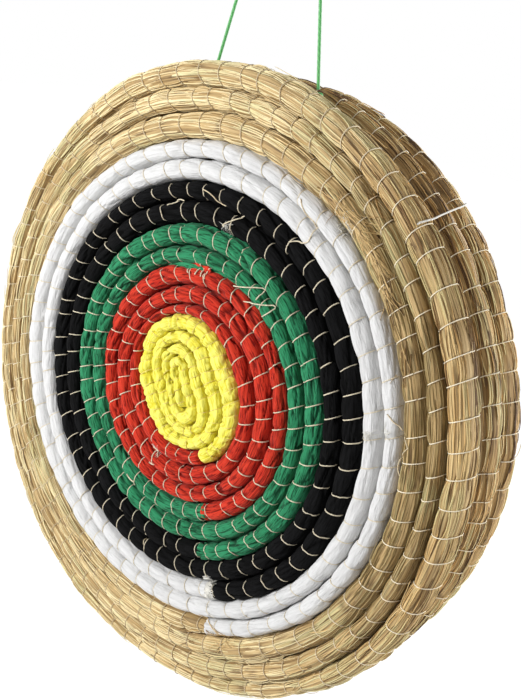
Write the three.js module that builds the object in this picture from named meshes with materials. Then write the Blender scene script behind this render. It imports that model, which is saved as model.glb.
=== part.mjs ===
// Archery target boss: three layers of sewn straw rope, hung by two green cords.
// Millimetres, +Z up, the face towards -Y. The origin lies midway between the two hang loops, at the
// height where a hook bears on them.

import * as THREE from "three";

// Boss
const boss_radius = 250;
const layer_pitch = 30;
const layer_gap = 0.4;
const turn_gap = 0.6;
const spot_gap = 0.75;
const joint_gap = 0.5;

// Straw rope of the middle and back layers
const straw_pitch = 18.6;
const rope_eye_radius = 2;
const rope_start_width = 5;
const outer_turn_reach = 6;

// Cords, knots and loops
const cord_diameter = 2.5;
const cord_run = 70;
const knot_radius = 3.6;
const seat_gap = 0.35;
const loop_height = 28;
const loop_width = 13;

// Twine tie across the rim
const twine_diameter = 1.6;
const tie_leg = 9;

// Angles in degrees, clockwise from the top as seen from the front
const colour_line_clock = 156;
const left_tie_clock = -11.45;
const right_tie_clock = 11.45;
const cord_lean = 11.75;
const rim_tie_front_clock = 42.3;
const rim_tie_back_clock = 38.5;

// Rings of the front layer: where each wrap ends, in turns from the colour line
const wrap_end_turns = [2.989, 5.003, 6.994, 9.004]; // red, green, black, white
const front_tail_start_turns = 12.1;
const front_tail_end_turns = 12.33;

// Outer edge of the front rope at each quarter turn, as shares of the boss's radius
const front_edge_shares = [
  [0.257, 0.245, 0.275, 0.304], // red
  [0.321, 0.309, 0.336, 0.375],
  [0.376, 0.376, 0.404, 0.43],
  [0.4415, 0.438, 0.462, 0.489], // green
  [0.5075, 0.511, 0.532, 0.557],
  [0.57, 0.585, 0.604, 0.619], // black
  [0.638, 0.66, 0.664, 0.689],
  [0.704, 0.732, 0.732, 0.755], // white
  [0.766, 0.811, 0.792, 0.815],
  [0.8245, 0.86, 0.875, 0.891], // bare straw
  [0.902, 0.909, 0.945, 0.943],
  [0.968, 0.966, 1.021, 1.026],
  [1.023, 1.008, 1.0, 1.0],
];

// Yellow rope: its outer edge from the spot's long axis at each half turn, left then right, and the
// half length of its straight middle, all as shares of the boss's radius
const spot_edge_shares = [0.036, 0.0415, 0.072, 0.091, 0.119, 0.151, 0.185, 0.223, 0.256];
const spot_run_share = 0.069;
const spot_run_fall_share = 0.0035;
const spot_centre_shares = [0.0075, 0.0075];
const spot_tilt = 8;

// The yellow rope stops this part of a turn short, at the lower right of the spot
const spot_end_back_turns = 0.22;

// Middle and back layers: where the rope's outer end starts to thin, in clock degrees, and the turns
// that it takes to run out
const middle_tail_clock = 127.5;
const back_tail_clock = 172.5;
const tail_turns = 0.33;
const tail_tip_share = 0.25;

// Facets
const steps_per_turn = 24;
const spot_arc_steps = 8;
const spot_run_steps = 2;
const rope_sides = 6;
const cord_sides = 8;
const knot_sides = 14;
const knot_wraps = 3;
const loop_steps = 22;

const full_turn = Math.PI * 2;
const outer_turn_radius = boss_radius + outer_turn_reach;
const step_turn = 1 / steps_per_turn;
const half_depth = (layer_pitch - layer_gap) / 2;
const cord_radius = cord_diameter / 2;
const twine_radius = twine_diameter / 2;
const layer_y = { front: -layer_pitch, middle: 0, back: layer_pitch };

const radians = (degrees) => THREE.MathUtils.degToRad(degrees);

// Materials
const cloth = (colour) =>
  new THREE.MeshStandardMaterial({ color: colour, roughness: 0.9, metalness: 0 });
const straw = (colour) =>
  new THREE.MeshStandardMaterial({ color: colour, roughness: 0.8, metalness: 0 });
const green_cord = () =>
  new THREE.MeshStandardMaterial({ color: 0x4f9a55, roughness: 0.6, metalness: 0 });
const twine = () =>
  new THREE.MeshStandardMaterial({ color: 0xe8dfc8, roughness: 0.85, metalness: 0 });

// A closed skin over rings of equal size, with a flat cap on each end
function skinOver(rings) {
  const sides = rings[0].length;
  const positions = rings.flat().flatMap((point) => [point.x, point.y, point.z]);
  const faces = [];
  for (let ring = 0; ring + 1 < rings.length; ring += 1) {
    for (let side = 0; side < sides; side += 1) {
      const a = ring * sides + side;
      const b = ring * sides + ((side + 1) % sides);
      faces.push(a, a + sides, b, b, a + sides, b + sides);
    }
  }
  const last = (rings.length - 1) * sides;
  for (let side = 1; side + 1 < sides; side += 1) {
    faces.push(0, side, side + 1);
    faces.push(last, last + side + 1, last + side);
  }
  const geometry = new THREE.BufferGeometry();
  geometry.setAttribute("position", new THREE.Float32BufferAttribute(positions, 3));
  geometry.setIndex(faces);
  return geometry;
}

// One section of rope between two edges, flat towards the face and the back
function ropeSection(inner, outer, y, depth) {
  const middle = inner.clone().add(outer).multiplyScalar(1 / 2);
  const reach = outer.clone().sub(middle);
  const flat_share = Math.cos(Math.PI / rope_sides);
  const ring = [];
  for (let side = 0; side < rope_sides; side += 1) {
    const angle = (side / rope_sides) * full_turn;
    const point = middle.clone().addScaledVector(reach, Math.cos(angle));
    point.y = y + (depth / flat_share) * Math.sin(angle);
    ring.push(point);
  }
  return ring;
}

// The ring where a plane across the rope cuts the stretch between two rings
function cutRing(from, to, along, place) {
  return from.map((point, side) => {
    const next = to[side];
    const share = (place - point.dot(along)) / (next.dot(along) - point.dot(along));
    return point.clone().lerp(next, share);
  });
}

// Least distance between points of one winding that lie over half a turn apart along it
function leastGap(rings, steps) {
  const samples = [0, 1 / 4, 1 / 2, 3 / 4];
  const points = rings.slice(0, -1).map((ring, index) =>
    ring.flatMap((point, side) =>
      samples.map((share) => point.clone().lerp(rings[index + 1][side], share)),
    ),
  );
  let least = Infinity;
  for (let first = 0; first < points.length; first += 1) {
    const from = first + Math.ceil(steps / 2);
    const to = Math.min(points.length, first + Math.ceil(steps * 3 / 2));
    for (let second = from; second < to; second += 1) {
      for (const a of points[first]) {
        for (const b of points[second]) {
          least = Math.min(least, a.distanceTo(b));
        }
      }
    }
  }
  return least;
}

// A value between the entries of a list, on a smooth line through them
function smoothAt(values, place) {
  const index = Math.min(Math.max(Math.floor(place), 0), values.length - 2);
  const at = (entry) => values[Math.min(Math.max(entry, 0), values.length - 1)];
  const share = Math.min(Math.max(place - index, 0), 1);
  const before = at(index - 1);
  const low = at(index);
  const high = at(index + 1);
  const after = at(index + 2);
  const rise = (high - before) / 2;
  const fall = (after - low) / 2;
  const square = share * share;
  const cube = square * share;
  return (
    low * (2 * cube - 3 * square + 1) +
    rise * (cube - 2 * square + share) +
    high * (3 * square - 2 * cube) +
    fall * (cube - square)
  );
}

// A point in a layer's plane at a clock angle, in turns from the top
const onClock = (clock_turns, radius) =>
  new THREE.Vector3(
    radius * Math.sin(clock_turns * full_turn),
    0,
    radius * Math.cos(clock_turns * full_turn),
  );

const colour_line_turns = colour_line_clock / 360;

// The yellow rope's boundary: a line at a growing distance from a straight middle that shortens
function spotPoint(turn, edge) {
  const run_share = spot_run_steps / (2 * (spot_run_steps + spot_arc_steps));
  const arc_share = 1 / 2 - run_share;
  const half = Math.floor(turn * 2 + run_share);
  const into = turn - half / 2 + run_share / 2;
  const up = half % 2 === 0 ? 1 : -1;
  const slide = Math.min(into / run_share, 1) * 2 - 1;
  const bend = (Math.max(into - run_share, 0) / arc_share) * Math.PI;
  const run = boss_radius * (spot_run_share - spot_run_fall_share * turn * turn);
  const local = new THREE.Vector3(
    -up * edge * Math.cos(bend),
    0,
    up * (run * slide + edge * Math.sin(bend)),
  );
  local.applyAxisAngle(new THREE.Vector3(0, 1, 0), radians(-spot_tilt));
  const [across, above] = spot_centre_shares;
  local.add(new THREE.Vector3(across * boss_radius, 0, above * boss_radius));
  return local.applyAxisAngle(new THREE.Vector3(0, 1, 0), (colour_line_turns - 1 / 2) * full_turn);
}

const spotEdge = (turn) => boss_radius * smoothAt(spot_edge_shares, turn * 2);

const spot_half_steps = spot_arc_steps + spot_run_steps;
const spot_run_turn = spot_run_steps / (2 * spot_half_steps);
const spot_start = -spot_run_turn / 2;
const spot_start_trim = (joint_gap / (2 * spot_run_share * boss_radius)) * spot_run_turn;
const spot_wraps_round = 3 / 4;

// Inner edge of the yellow rope: none on the first hairpin, then round the rope's own start
function spotInner(turn) {
  const joined = 1 + spot_start;
  if (turn >= joined) {
    return spotPoint(turn - 1, spotEdge(turn - 1));
  }
  const share = Math.max(turn - spot_wraps_round, 0) / (joined - spot_wraps_round);
  return spotPoint(turn, spotEdge(spot_start) * share);
}

function yellowRings() {
  const rings = [];
  const turn_step = 1 / (2 * spot_half_steps);
  const last_turn = (spot_edge_shares.length - 1) / 2 - spot_end_back_turns;
  for (let step = 0; spot_start + step * turn_step < last_turn; step += 1) {
    const turn = spot_start + (step ? step * turn_step : spot_start_trim);
    const inner = spotInner(turn);
    const outer = spotPoint(turn, spotEdge(turn));
    const trim = spot_gap / 2 / inner.distanceTo(outer);
    rings.push(
      ropeSection(
        inner.clone().lerp(outer, trim),
        outer.clone().lerp(inner, trim),
        layer_y.front,
        half_depth,
      ),
    );
  }
  return rings;
}

const yellow_rings = yellowRings();
const yellow_steps = 2 * spot_half_steps;

// Places along the yellow spot's outline, as turns from the colour line and radii
const outline_samples = 12;
const spot_outline = yellow_rings.slice(0, -1).flatMap((ring, index) =>
  Array.from({ length: outline_samples }, (_, sample) => {
    const point = ring[0].clone().lerp(yellow_rings[index + 1][0], sample / outline_samples);
    const clock = Math.atan2(point.x, point.z) / full_turn;
    return { turn: clock - colour_line_turns, radius: Math.hypot(point.x, point.z) };
  }),
);
for (let index = spot_outline.length - 1; index >= 0; index -= 1) {
  const after = index + 1 < spot_outline.length ? spot_outline[index + 1].turn : 0;
  spot_outline[index].turn += Math.round(after - spot_outline[index].turn);
}
const spot_end = spot_outline[spot_outline.length - 1];
const spot_outline_end = spot_end.turn;

// The red wrap starts where both ropes' end faces clear each other
const spot_rope_width = boss_radius * (spot_edge_shares.at(-1) - spot_edge_shares.at(-3));
const red_start_gap = joint_gap + spot_rope_width * Math.tan((step_turn / 2) * full_turn);
const red_start = spot_outline_end + red_start_gap / (spot_end.radius * full_turn);

function spotRadius(turn) {
  const clear = Math.cos((step_turn / 2) * full_turn);
  const near = spot_outline.filter((entry) => Math.abs(entry.turn - turn) < step_turn);
  const radii = near.map((entry) => entry.radius);
  return (Math.max(...radii) + turn_gap / 2) / clear;
}

// Outer edge of the front rope, in turns from the colour line
const front_quarters = front_edge_shares.flat();

function frontEdge(turn) {
  if (turn < 0) {
    return spotRadius(Math.min(turn, spot_outline_end));
  }
  return boss_radius * smoothAt(front_quarters, turn * 4);
}

// A straw rope's outer edge on its spiral, before it thins at its end
const spiralEdge = (end_turn) => (turn) =>
  outer_turn_radius + straw_pitch * (turn - end_turn);

// How far into its thinning end a rope is, from 0 to 1
const tailShare = (turn, start, end) => Math.max(0, (turn - start) / (end - start));

// The two edges and the half depth of a rope at a turn
function ropeAt(turn, edgeOf, tail_start, tail_end) {
  const low = Math.max(edgeOf(turn - 1), rope_eye_radius) + turn_gap / 2;
  const high = edgeOf(turn) - turn_gap / 2;
  const thinning = tailShare(turn, tail_start, tail_end) ** 2 * (1 - tail_tip_share);
  return { low, high: high - (high - low) * thinning, depth: half_depth * (1 - thinning / 2) };
}

// Turn of a rope at a step of the grid that all ropes share, counted from the top
const gridTurn = (step, zero_clock) => step * step_turn - zero_clock;

// Radius of the straight facet that joins two steps of the grid, at a turn between them
function facetRadius(turn, zero_clock, radiusOf) {
  const low = gridTurn(Math.floor((turn + zero_clock) / step_turn), zero_clock);
  const high = low + step_turn;
  const from_low = Math.sin((turn - low) * full_turn) / radiusOf(high);
  const to_high = Math.sin((high - turn) * full_turn) / radiusOf(low);
  return Math.sin(step_turn * full_turn) / (from_low + to_high);
}

// Rings of a wound rope: one on each step of the common grid, and its ends cut square
function windingRings(start, end, zero_clock, y, edgeAt, cut_start, cut_end) {
  const ringAt = (turn) => {
    const { low, high, depth } = edgeAt(turn);
    const clock = turn + zero_clock;
    return ropeSection(onClock(clock, low), onClock(clock, high), y, depth);
  };
  const first = Math.floor((start + zero_clock) / step_turn);
  const last = Math.ceil((end + zero_clock) / step_turn);
  const rings = [];
  for (let step = first; step <= last; step += 1) {
    rings.push(ringAt(gridTurn(step, zero_clock)));
  }
  const squareCut = (from, to, turn, gap) => {
    const facet_clock = ((from + to) / 2) * step_turn;
    const along = new THREE.Vector3(
      Math.cos(facet_clock * full_turn),
      0,
      -Math.sin(facet_clock * full_turn),
    );
    const { low, high } = edgeAt(turn);
    const place = onClock(turn + zero_clock, (low + high) / 2).dot(along) + gap;
    const ring = ringAt(gridTurn(from, zero_clock));
    return cutRing(ring, ringAt(gridTurn(to, zero_clock)), along, place);
  };
  if (cut_start) {
    rings[0] = squareCut(first, first + 1, start, joint_gap / 2);
  }
  if (cut_end) {
    rings[rings.length - 1] = squareCut(last - 1, last, end, -joint_gap / 2);
  }
  return rings;
}

const boss = new THREE.Group();
const target = new THREE.Group();
target.add(boss);

function addMesh(group, name, geometry, material) {
  const mesh = new THREE.Mesh(geometry, material);
  mesh.name = name;
  group.add(mesh);
  return mesh;
}

function addWinding(name, rings, steps, material) {
  addMesh(boss, name, skinOver(rings), material);
  if (rings.length > steps) {
    console.log(`${name}: least gap to itself ${leastGap(rings, steps).toFixed(2)} mm`);
  }
}

// Front layer
addWinding("yellow_centre_coil", yellow_rings, yellow_steps, cloth(0xf3ea3c));

const frontAt = (turn) => ropeAt(turn, frontEdge, front_tail_start_turns, front_tail_end_turns);
const [red_end, green_end, black_end, white_end] = wrap_end_turns;
const wraps = [
  ["red_coil", red_start, red_end, cloth(0xd33a27)],
  ["green_coil", red_end, green_end, cloth(0x1f8a5c)],
  ["black_coil", green_end, black_end, cloth(0x17171a)],
  ["white_coil", black_end, white_end, cloth(0xe9e9ee)],
  ["straw_front_coil", white_end, front_tail_end_turns, straw(0xcdb27a)],
];
for (const [name, start, end, material] of wraps) {
  const rings = windingRings(
    start,
    end,
    colour_line_turns,
    layer_y.front,
    frontAt,
    true,
    true,
  );
  addWinding(name, rings, steps_per_turn, material);
}

// Middle layer: the outer turn wound round a plain core
const middle_zero = middle_tail_clock / 360;
const middleEdge = spiralEdge(0);
const middleAt = (turn) => ropeAt(turn, middleEdge, 0, tail_turns);
const middle_start = -1;
const middle_rings = windingRings(
  middle_start,
  tail_turns,
  middle_zero,
  layer_y.middle,
  middleAt,
  true,
  true,
);
addWinding("middle_outer_coil", middle_rings, steps_per_turn, straw(0xc0a163));

function middleCore() {
  const outline = [];
  const corner = (turn, radius) => {
    const point = onClock(turn + middle_zero, radius - turn_gap / 2);
    outline.push(new THREE.Vector2(point.x, point.z));
  };
  const innerEdge = (turn) => middleEdge(turn - 1);
  const step_gap = joint_gap / (outer_turn_radius * full_turn);
  corner(middle_start - step_gap, facetRadius(middle_start, middle_zero, middleEdge));
  corner(middle_start - step_gap, facetRadius(middle_start, middle_zero, innerEdge));
  const first = Math.ceil((middle_start + middle_zero) / step_turn);
  for (let step = first; step < first + steps_per_turn; step += 1) {
    const turn = gridTurn(step, middle_zero);
    corner(turn, innerEdge(turn));
  }
  const geometry = new THREE.ExtrudeGeometry(new THREE.Shape(outline), {
    depth: 2 * half_depth,
    bevelEnabled: false,
  });
  geometry.rotateX(Math.PI / 2);
  geometry.translate(0, layer_y.middle + half_depth, 0);
  return geometry;
}
addMesh(boss, "middle_core", middleCore(), straw(0xb8995c));

// Back layer: the rope starts thin in the middle, so it leaves only a small eye
const back_zero = back_tail_clock / 360;
const backEdge = spiralEdge(0);
const back_turns = (outer_turn_radius - rope_eye_radius - rope_start_width) / straw_pitch;
const backAt = (turn) => ropeAt(turn, backEdge, 0, tail_turns);
const back_rings = windingRings(
  -back_turns,
  tail_turns,
  back_zero,
  layer_y.back,
  backAt,
  true,
  true,
);
addWinding("back_coil", back_rings, steps_per_turn, straw(0xc6a869));

// The outermost turn of each layer at a clock angle
const front_rim_turns = 12;
const frontTurn = (clock) => front_rim_turns + clock - colour_line_turns;
const frontRim = (clock) =>
  facetRadius(frontTurn(clock), colour_line_turns, frontEdge) - turn_gap / 2;
const middleRim = (clock) =>
  facetRadius(clock - middle_zero, middle_zero, middleEdge) - turn_gap / 2;
const backRim = (clock) => facetRadius(clock - back_zero, back_zero, backEdge) - turn_gap / 2;
const frontWidth = (clock) =>
  frontEdge(frontTurn(clock)) - frontEdge(frontTurn(clock) - 1) - turn_gap;

// Radius at which a knot rests in the furrow on the sloping side of an outer turn
function furrowRadius(rim, rope_width) {
  const slant = rope_width / 4;
  const slope = Math.hypot(half_depth, slant);
  const clear = knot_radius + seat_gap;
  return rim + (clear * slope - (layer_pitch / 2) * slant) / half_depth;
}

const tie_clocks = [left_tie_clock / 360, right_tie_clock / 360];
const tie_heights = tie_clocks.map((clock) => {
  const front_radius = furrowRadius(frontRim(clock), frontWidth(clock));
  const middle_radius = furrowRadius(middleRim(clock), straw_pitch - turn_gap);
  return Math.max(front_radius, middle_radius) * Math.cos(clock * full_turn);
});
const tie_height = Math.max(...tie_heights);
const tie_y = -layer_pitch / 2;
const hang_radius = Math.hypot(tie_height, tie_y);

// The boss hangs with its middle below the tie line, so it leans a little
const lean = Math.atan2(tie_y, tie_height);
const upper_knot_z = -loop_height;
const lower_knot_z = upper_knot_z - cord_run * Math.cos(radians(cord_lean));
boss.rotation.x = lean;
boss.position.z = lower_knot_z - hang_radius;

// A knot of a few wraps side by side, round the X axis
function knotGeometry() {
  const profile = [new THREE.Vector2(0, -knot_wraps * cord_radius)];
  const bends = [-Math.PI / 3, 0, Math.PI / 3];
  for (let wrap = 0; wrap < knot_wraps; wrap += 1) {
    const middle = (wrap * 2 + 1 - knot_wraps) * cord_radius;
    for (const bend of bends) {
      profile.push(
        new THREE.Vector2(
          knot_radius - cord_radius + cord_radius * Math.cos(bend),
          middle + cord_radius * Math.sin(bend),
        ),
      );
    }
  }
  profile.push(new THREE.Vector2(0, knot_wraps * cord_radius));
  const geometry = new THREE.LatheGeometry(profile, knot_sides);
  geometry.rotateZ(Math.PI / 2);
  return geometry;
}

function roundSection(radius, sides) {
  const corners = [];
  for (let side = 0; side < sides; side += 1) {
    const angle = (side / sides) * full_turn;
    corners.push(new THREE.Vector2(radius * Math.cos(angle), radius * Math.sin(angle)));
  }
  return new THREE.Shape(corners);
}

const tubeAlong = (curve, radius, sides, steps) =>
  new THREE.ExtrudeGeometry(roundSection(radius, sides), {
    steps,
    bevelEnabled: false,
    extrudePath: curve,
  });

// A loop that leaves the top of its knot, opens out and closes over the hook
function loopCurve() {
  const start = knot_radius + seat_gap;
  const top = loop_height + cord_radius;
  const neck = cord_radius + seat_gap / 2;
  const half = (loop_width + cord_diameter) / 2;
  const rise = top - start;
  const left_side = [
    [neck, start],
    [neck, start + cord_diameter],
    [half * 0.72, start + rise * 0.36],
    [half, start + rise * 0.62],
    [half * 0.8, start + rise * 0.87],
  ];
  const points = left_side.map(([across, up]) => new THREE.Vector3(-across, 0, up));
  points.push(new THREE.Vector3(0, 0, top));
  for (const [across, up] of [...left_side].reverse()) {
    points.push(new THREE.Vector3(across, 0, up));
  }
  return new THREE.CatmullRomCurve3(points);
}

const cord_steps = Math.round(cord_run / (cord_diameter * 3));
const sides_of_boss = [
  { side: "left", clock: tie_clocks[0], inward: 1 },
  { side: "right", clock: tie_clocks[1], inward: -1 },
];
for (const { side, clock, inward } of sides_of_boss) {
  const lower = new THREE.Vector3(tie_height * Math.tan(clock * full_turn), 0, lower_knot_z);
  const upper = lower.clone();
  upper.x += inward * cord_run * Math.sin(radians(cord_lean));
  upper.z = upper_knot_z;
  const along = upper.clone().sub(lower).normalize();
  const clear = knot_radius + seat_gap;
  const run = new THREE.LineCurve3(
    lower.clone().addScaledVector(along, clear),
    upper.clone().addScaledVector(along, -clear),
  );
  addMesh(
    target,
    `${side}_cord`,
    tubeAlong(run, cord_radius, cord_sides, cord_steps),
    green_cord(),
  );
  const tie_knot = addMesh(boss, `${side}_tie_knot`, knotGeometry(), green_cord());
  tie_knot.position.set(lower.x, tie_y, tie_height);
  const loop_knot = addMesh(target, `${side}_loop_knot`, knotGeometry(), green_cord());
  loop_knot.position.copy(upper);
  const loop = addMesh(
    target,
    `${side}_hang_loop`,
    tubeAlong(loopCurve(), cord_radius, cord_sides, loop_steps),
    green_cord(),
  );
  loop.position.copy(upper);
}

// A tie of twine drawn over the rims of the three layers, its ends tucked down the outer two
function rimTieCurve() {
  const front_clock = rim_tie_front_clock / 360;
  const back_clock = rim_tie_back_clock / 360;
  const middle_clock = (front_clock + back_clock) / 2;
  const off = twine_radius + seat_gap;
  const slant = (straw_pitch - turn_gap) / 4;
  const slope = Math.hypot(half_depth, slant);
  const inward = (slant / slope) * tie_leg;
  const along = (half_depth / slope) * tie_leg;
  const out = (half_depth / slope) * off;
  const aside = (slant / slope) * off;
  const front_crest = frontRim(front_clock) + off + seat_gap;
  const back_crest = backRim(back_clock) + off + seat_gap;
  const level = (front_crest + back_crest) / 2;
  const middle_crest = Math.max(middleRim(middle_clock) + off + seat_gap, level);
  const place = (clock, radius, y) => {
    const point = onClock(clock, radius);
    point.y = y;
    return point;
  };
  const front_foot = frontRim(front_clock) - inward + out;
  const back_foot = backRim(back_clock) - inward + out;
  return new THREE.CatmullRomCurve3([
    place(front_clock, front_foot, layer_y.front - along - aside),
    place(front_clock, front_crest, layer_y.front - twine_diameter),
    place(front_clock, front_crest, layer_y.front + twine_diameter),
    place(middle_clock, middle_crest, layer_y.middle),
    place(back_clock, back_crest, layer_y.back - twine_diameter),
    place(back_clock, back_crest, layer_y.back + twine_diameter),
    place(back_clock, back_foot, layer_y.back + along + aside),
  ]);
}
const rim_tie_steps = 20;
addMesh(
  boss,
  "rim_tie",
  tubeAlong(rimTieCurve(), twine_radius, cord_sides, rim_tie_steps),
  twine(),
);

export default target;
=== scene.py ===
"""Archery target boss: sewn straw rope with cloth rings, hung by two green cords."""

import math

import bpy
import numpy as np
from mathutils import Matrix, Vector
from mathutils.bvhtree import BVHTree


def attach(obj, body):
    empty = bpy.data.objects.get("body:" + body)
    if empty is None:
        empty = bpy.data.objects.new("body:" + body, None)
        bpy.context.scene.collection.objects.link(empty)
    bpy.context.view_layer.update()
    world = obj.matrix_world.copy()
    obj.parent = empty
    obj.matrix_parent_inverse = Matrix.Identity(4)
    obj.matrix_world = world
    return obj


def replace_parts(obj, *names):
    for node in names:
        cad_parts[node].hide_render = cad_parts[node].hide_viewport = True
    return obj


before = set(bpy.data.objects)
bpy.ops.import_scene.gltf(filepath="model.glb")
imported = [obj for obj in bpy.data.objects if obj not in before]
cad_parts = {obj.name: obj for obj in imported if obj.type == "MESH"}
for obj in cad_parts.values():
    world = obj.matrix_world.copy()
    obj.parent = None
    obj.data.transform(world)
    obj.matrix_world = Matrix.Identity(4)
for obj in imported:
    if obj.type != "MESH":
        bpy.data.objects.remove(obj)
bpy.ops.object.select_all(action="DESELECT")
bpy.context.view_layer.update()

# Sizes in metres. Turns count from the top, clockwise as seen from the front.
BOSS_RADIUS = 0.250
OUTER_TURN_RADIUS = 0.256
STRAW_PITCH = 0.0186
LAYER_PITCH = 0.030
FRONT_Y, MIDDLE_Y, BACK_Y = -LAYER_PITCH, 0.0, LAYER_PITCH
HALF_DEPTH = 0.0150
BOSS_LEAN = -0.060184
BOSS_MIDDLE_Z = -0.345919
COLOUR_LINE = 156 / 360
MIDDLE_TAIL = 127.5 / 360
BACK_TAIL = 172.5 / 360
TAIL_TURNS = 0.33
TAIL_TIP_SHARE = 0.25
STEPS_PER_TURN = 200
LEAST_STEPS = 60
ROPE_EYE = 0.001
TURN_GAP = 0.0002
NO_TAIL = (99, 100)

# Where each wrap ends, in turns from the colour line
YELLOW_END = -0.034
RED_END = 2.989
GREEN_END = 5.003
BLACK_END = 6.994
WHITE_END = 9.004
FRONT_TAIL_START = 12.1
FRONT_TAIL_END = 12.33

# Outer edge of the front rope at each quarter turn, as shares of the boss's radius
FRONT_EDGE_SHARES = [
    0.257, 0.245, 0.275, 0.304,
    0.321, 0.309, 0.336, 0.375,
    0.376, 0.376, 0.404, 0.43,
    0.4415, 0.438, 0.462, 0.489,
    0.5075, 0.511, 0.532, 0.557,
    0.57, 0.585, 0.604, 0.619,
    0.638, 0.66, 0.664, 0.689,
    0.704, 0.732, 0.732, 0.755,
    0.766, 0.811, 0.792, 0.815,
    0.8245, 0.86, 0.875, 0.891,
    0.902, 0.909, 0.945, 0.943,
    0.968, 0.966, 1.021, 1.026,
    1.023, 1.008, 1.0, 1.0,
]  # fmt: skip

# How far the rims of the front and of the other layers stray, every 30 degrees from the top
FRONT_RIM_DRIFT_SHARES = [
    0, -0.012, -0.012, -0.008, -0.004, -0.010,
    -0.018, 0.004, -0.003, 0, 0, 0.004,
]  # fmt: skip
RIM_DRIFT_SHARES = [0.018, 0.018, 0.008, 0.008, -0.002, -0.03, -0.016, 0, 0, 0, 0, 0.004]
FRONT_DRIFT_FROM, FRONT_DRIFT_RISE = 11, 0.5
RIM_DRIFT_FROM, RIM_DRIFT_RISE = -3, 2.2

# The yellow rope doubles back on itself: its outer edge at each half turn, and the half length
# of its straight middle
SPOT_EDGE_SHARES = [0.036, 0.0415, 0.072, 0.091, 0.119, 0.151, 0.185, 0.223, 0.256]
SPOT_RUN_SHARE = 0.069
SPOT_RUN_FALL_SHARE = 0.0035
SPOT_CENTRE = 0.0075 * BOSS_RADIUS
SPOT_TILT = math.radians(8)
SPOT_RUN_TURN = 0.1
SPOT_FIRST_WRAP = 0.75
SPOT_LAST_TURN = 3.75
SPOT_STEPS = 1200

# Cords, where their solids are
CORD_DIAMETER = 0.0025
CORD_LOWER = (0.05042, 0.0, -0.096533)
CORD_UPPER = (0.036166, 0.0, -0.028)
KNOT_CLEAR = 0.00395
FOOT_RISE = KNOT_CLEAR * 0.28
HEAD_DROP = KNOT_CLEAR * 0.8
HITCH_DROP = 0.0032
CORD_LAY = 0.011
KNOT_LAY = 0.009
KNOT_STEPS = 14
KNOT_RINGS = 18
KNOT_START = (-0.0012, 0.0008, -0.0016)
PLY_CORE_SHARE = 0.93
PLY_SWELL = (0.88, 0.2)

# Right half of a loop's middle line above its knot, and its top
LOOP_HALF = [
    (0.0014, 0.0014), (0.00145, 0.00645), (0.00558, 0.01306), (0.00775, 0.01964), (0.0062, 0.02596),
]  # fmt: skip
LOOP_TOP = 0.02925

# Laps of cloth, and the twine sewn over the rope
LAP_LENGTH = 0.006
LAP_DEPTH = 0.0009
TWINE_RADIUS = 0.00052
TWINE_SIDES = 5
STITCH_MARGIN = 0.003
STITCH_WANDER = 0.0003
STITCH_STRAY = 0.14
STITCH_RISE, STITCH_END_DIP = 0.7, 2

# Relief of a rope's skin. Lengths along a puff, from stitch to stitch, are shares of it.
PUFF_KINDS = 97
LEAST_PLUMP = 0.75
PLUMP_RANGE = 0.5
HELD_REACH = 0.07
HELD_RELIEF = 0.25
FOLD_STEP = 3.7
RUN_STEP = 5.3
CREASE_WIDTH = 0.14
CREASE_REACH = 1.45
LUMP_CELLS = 5
MEAN_SWELL = 0.65
MEAN_FOLD = 0.55
MEAN_STRAND = 0.4
LEAST_RELIEF = 0.15
FURROW_FROM = 0.55
LAYER_FROM = 0.45
LEAN_FADE = 0.008
LEAST_TAPER = 0.02
OUTLINE_STEPS = 1440
RIPPLE_ROWS = 1024
TUFTS_AROUND = 34
TUFT_LENGTH = 0.045

# Rings of a rope's mesh: how they crowd at the stitches, and where they lie in a rounded end
RING_CROWDING = 0.6
END_RINGS = np.array([0.0, 0.04, 0.15, 0.35, 0.65, 1.0])
END_MARGIN = 1.2

# Loose straws. Each runs over a few puffs, through these places of each, and is held down by
# its stitch there.
STRAW_PHASES = np.array([0.0, 0.09, 0.32, 0.68, 0.91])
STRAW_FREEDOM = np.array([0.25, 0.6, 1.0, 1.0, 0.6])
STRAW_PUFFS = 3
STRAW_MARGIN = 0.002
STRAW_DRIFT = 0.03
STRAW_WEAVE = 0.006
STRAW_WAVES, STRAW_WAVE_START = (4, 14), (0, 6)
STRAW_LIFT = (-0.0003, 0.0007)
STRAW_END_DIP = 0.0012
STRAW_HALF_WIDTH = (0.00018, 0.00052)
STRAW_HALF_THICKNESS = (0.00022, 0.00038)
FRAYED_SHARE = 0.04
FRAYED_LIFT = 0.0010
FRAYED_WIDTH = 0.8
FRAYED_RISE = (0.001, 0.0045)

# Tones of loose straws, from 0 dark to 1 light. Streaks widen their range, painted shade darkens
# them in the furrows, and dull straw darkens them, partly as painted shade.
STRAW_TONE = 0.64
TONE_CHANCE = (1.7, 1.4)
MEAN_TONE_CHANCE = 0.55
TONE_RANGE = 0.6
TUFT_TONE, STREAKED_TUFT_TONE = 0.25, 0.4
STREAK_SHADE = 0.05
STAINED_SHARE = 0.14
STAIN_TONE = 0.05
FURROW_SHADE, STREAKED_FURROW_SHADE = 0.45, 0.5
DULL_SHADE = 0.85

# Camera, fitted to the photograph
SENSOR_MM = 36
LENS_MM = 44.97
CAMERA_PLACE = (0.43613, -0.52266, -0.05027)
CAMERA_TURN = (68.7653, -9.5812, 40.7921)


def place_camera():
    """A camera that sees the boss as the photograph does."""
    camera = bpy.data.cameras.new("camera")
    camera.sensor_fit = "VERTICAL"
    camera.sensor_height = SENSOR_MM
    camera.lens = LENS_MM
    camera.clip_end = 20
    holder = bpy.data.objects.new("camera", camera)
    holder.location = CAMERA_PLACE
    holder.rotation_euler = [math.radians(angle) for angle in CAMERA_TURN]
    bpy.context.collection.objects.link(holder)
    bpy.context.scene.camera = holder


place_camera()


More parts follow.
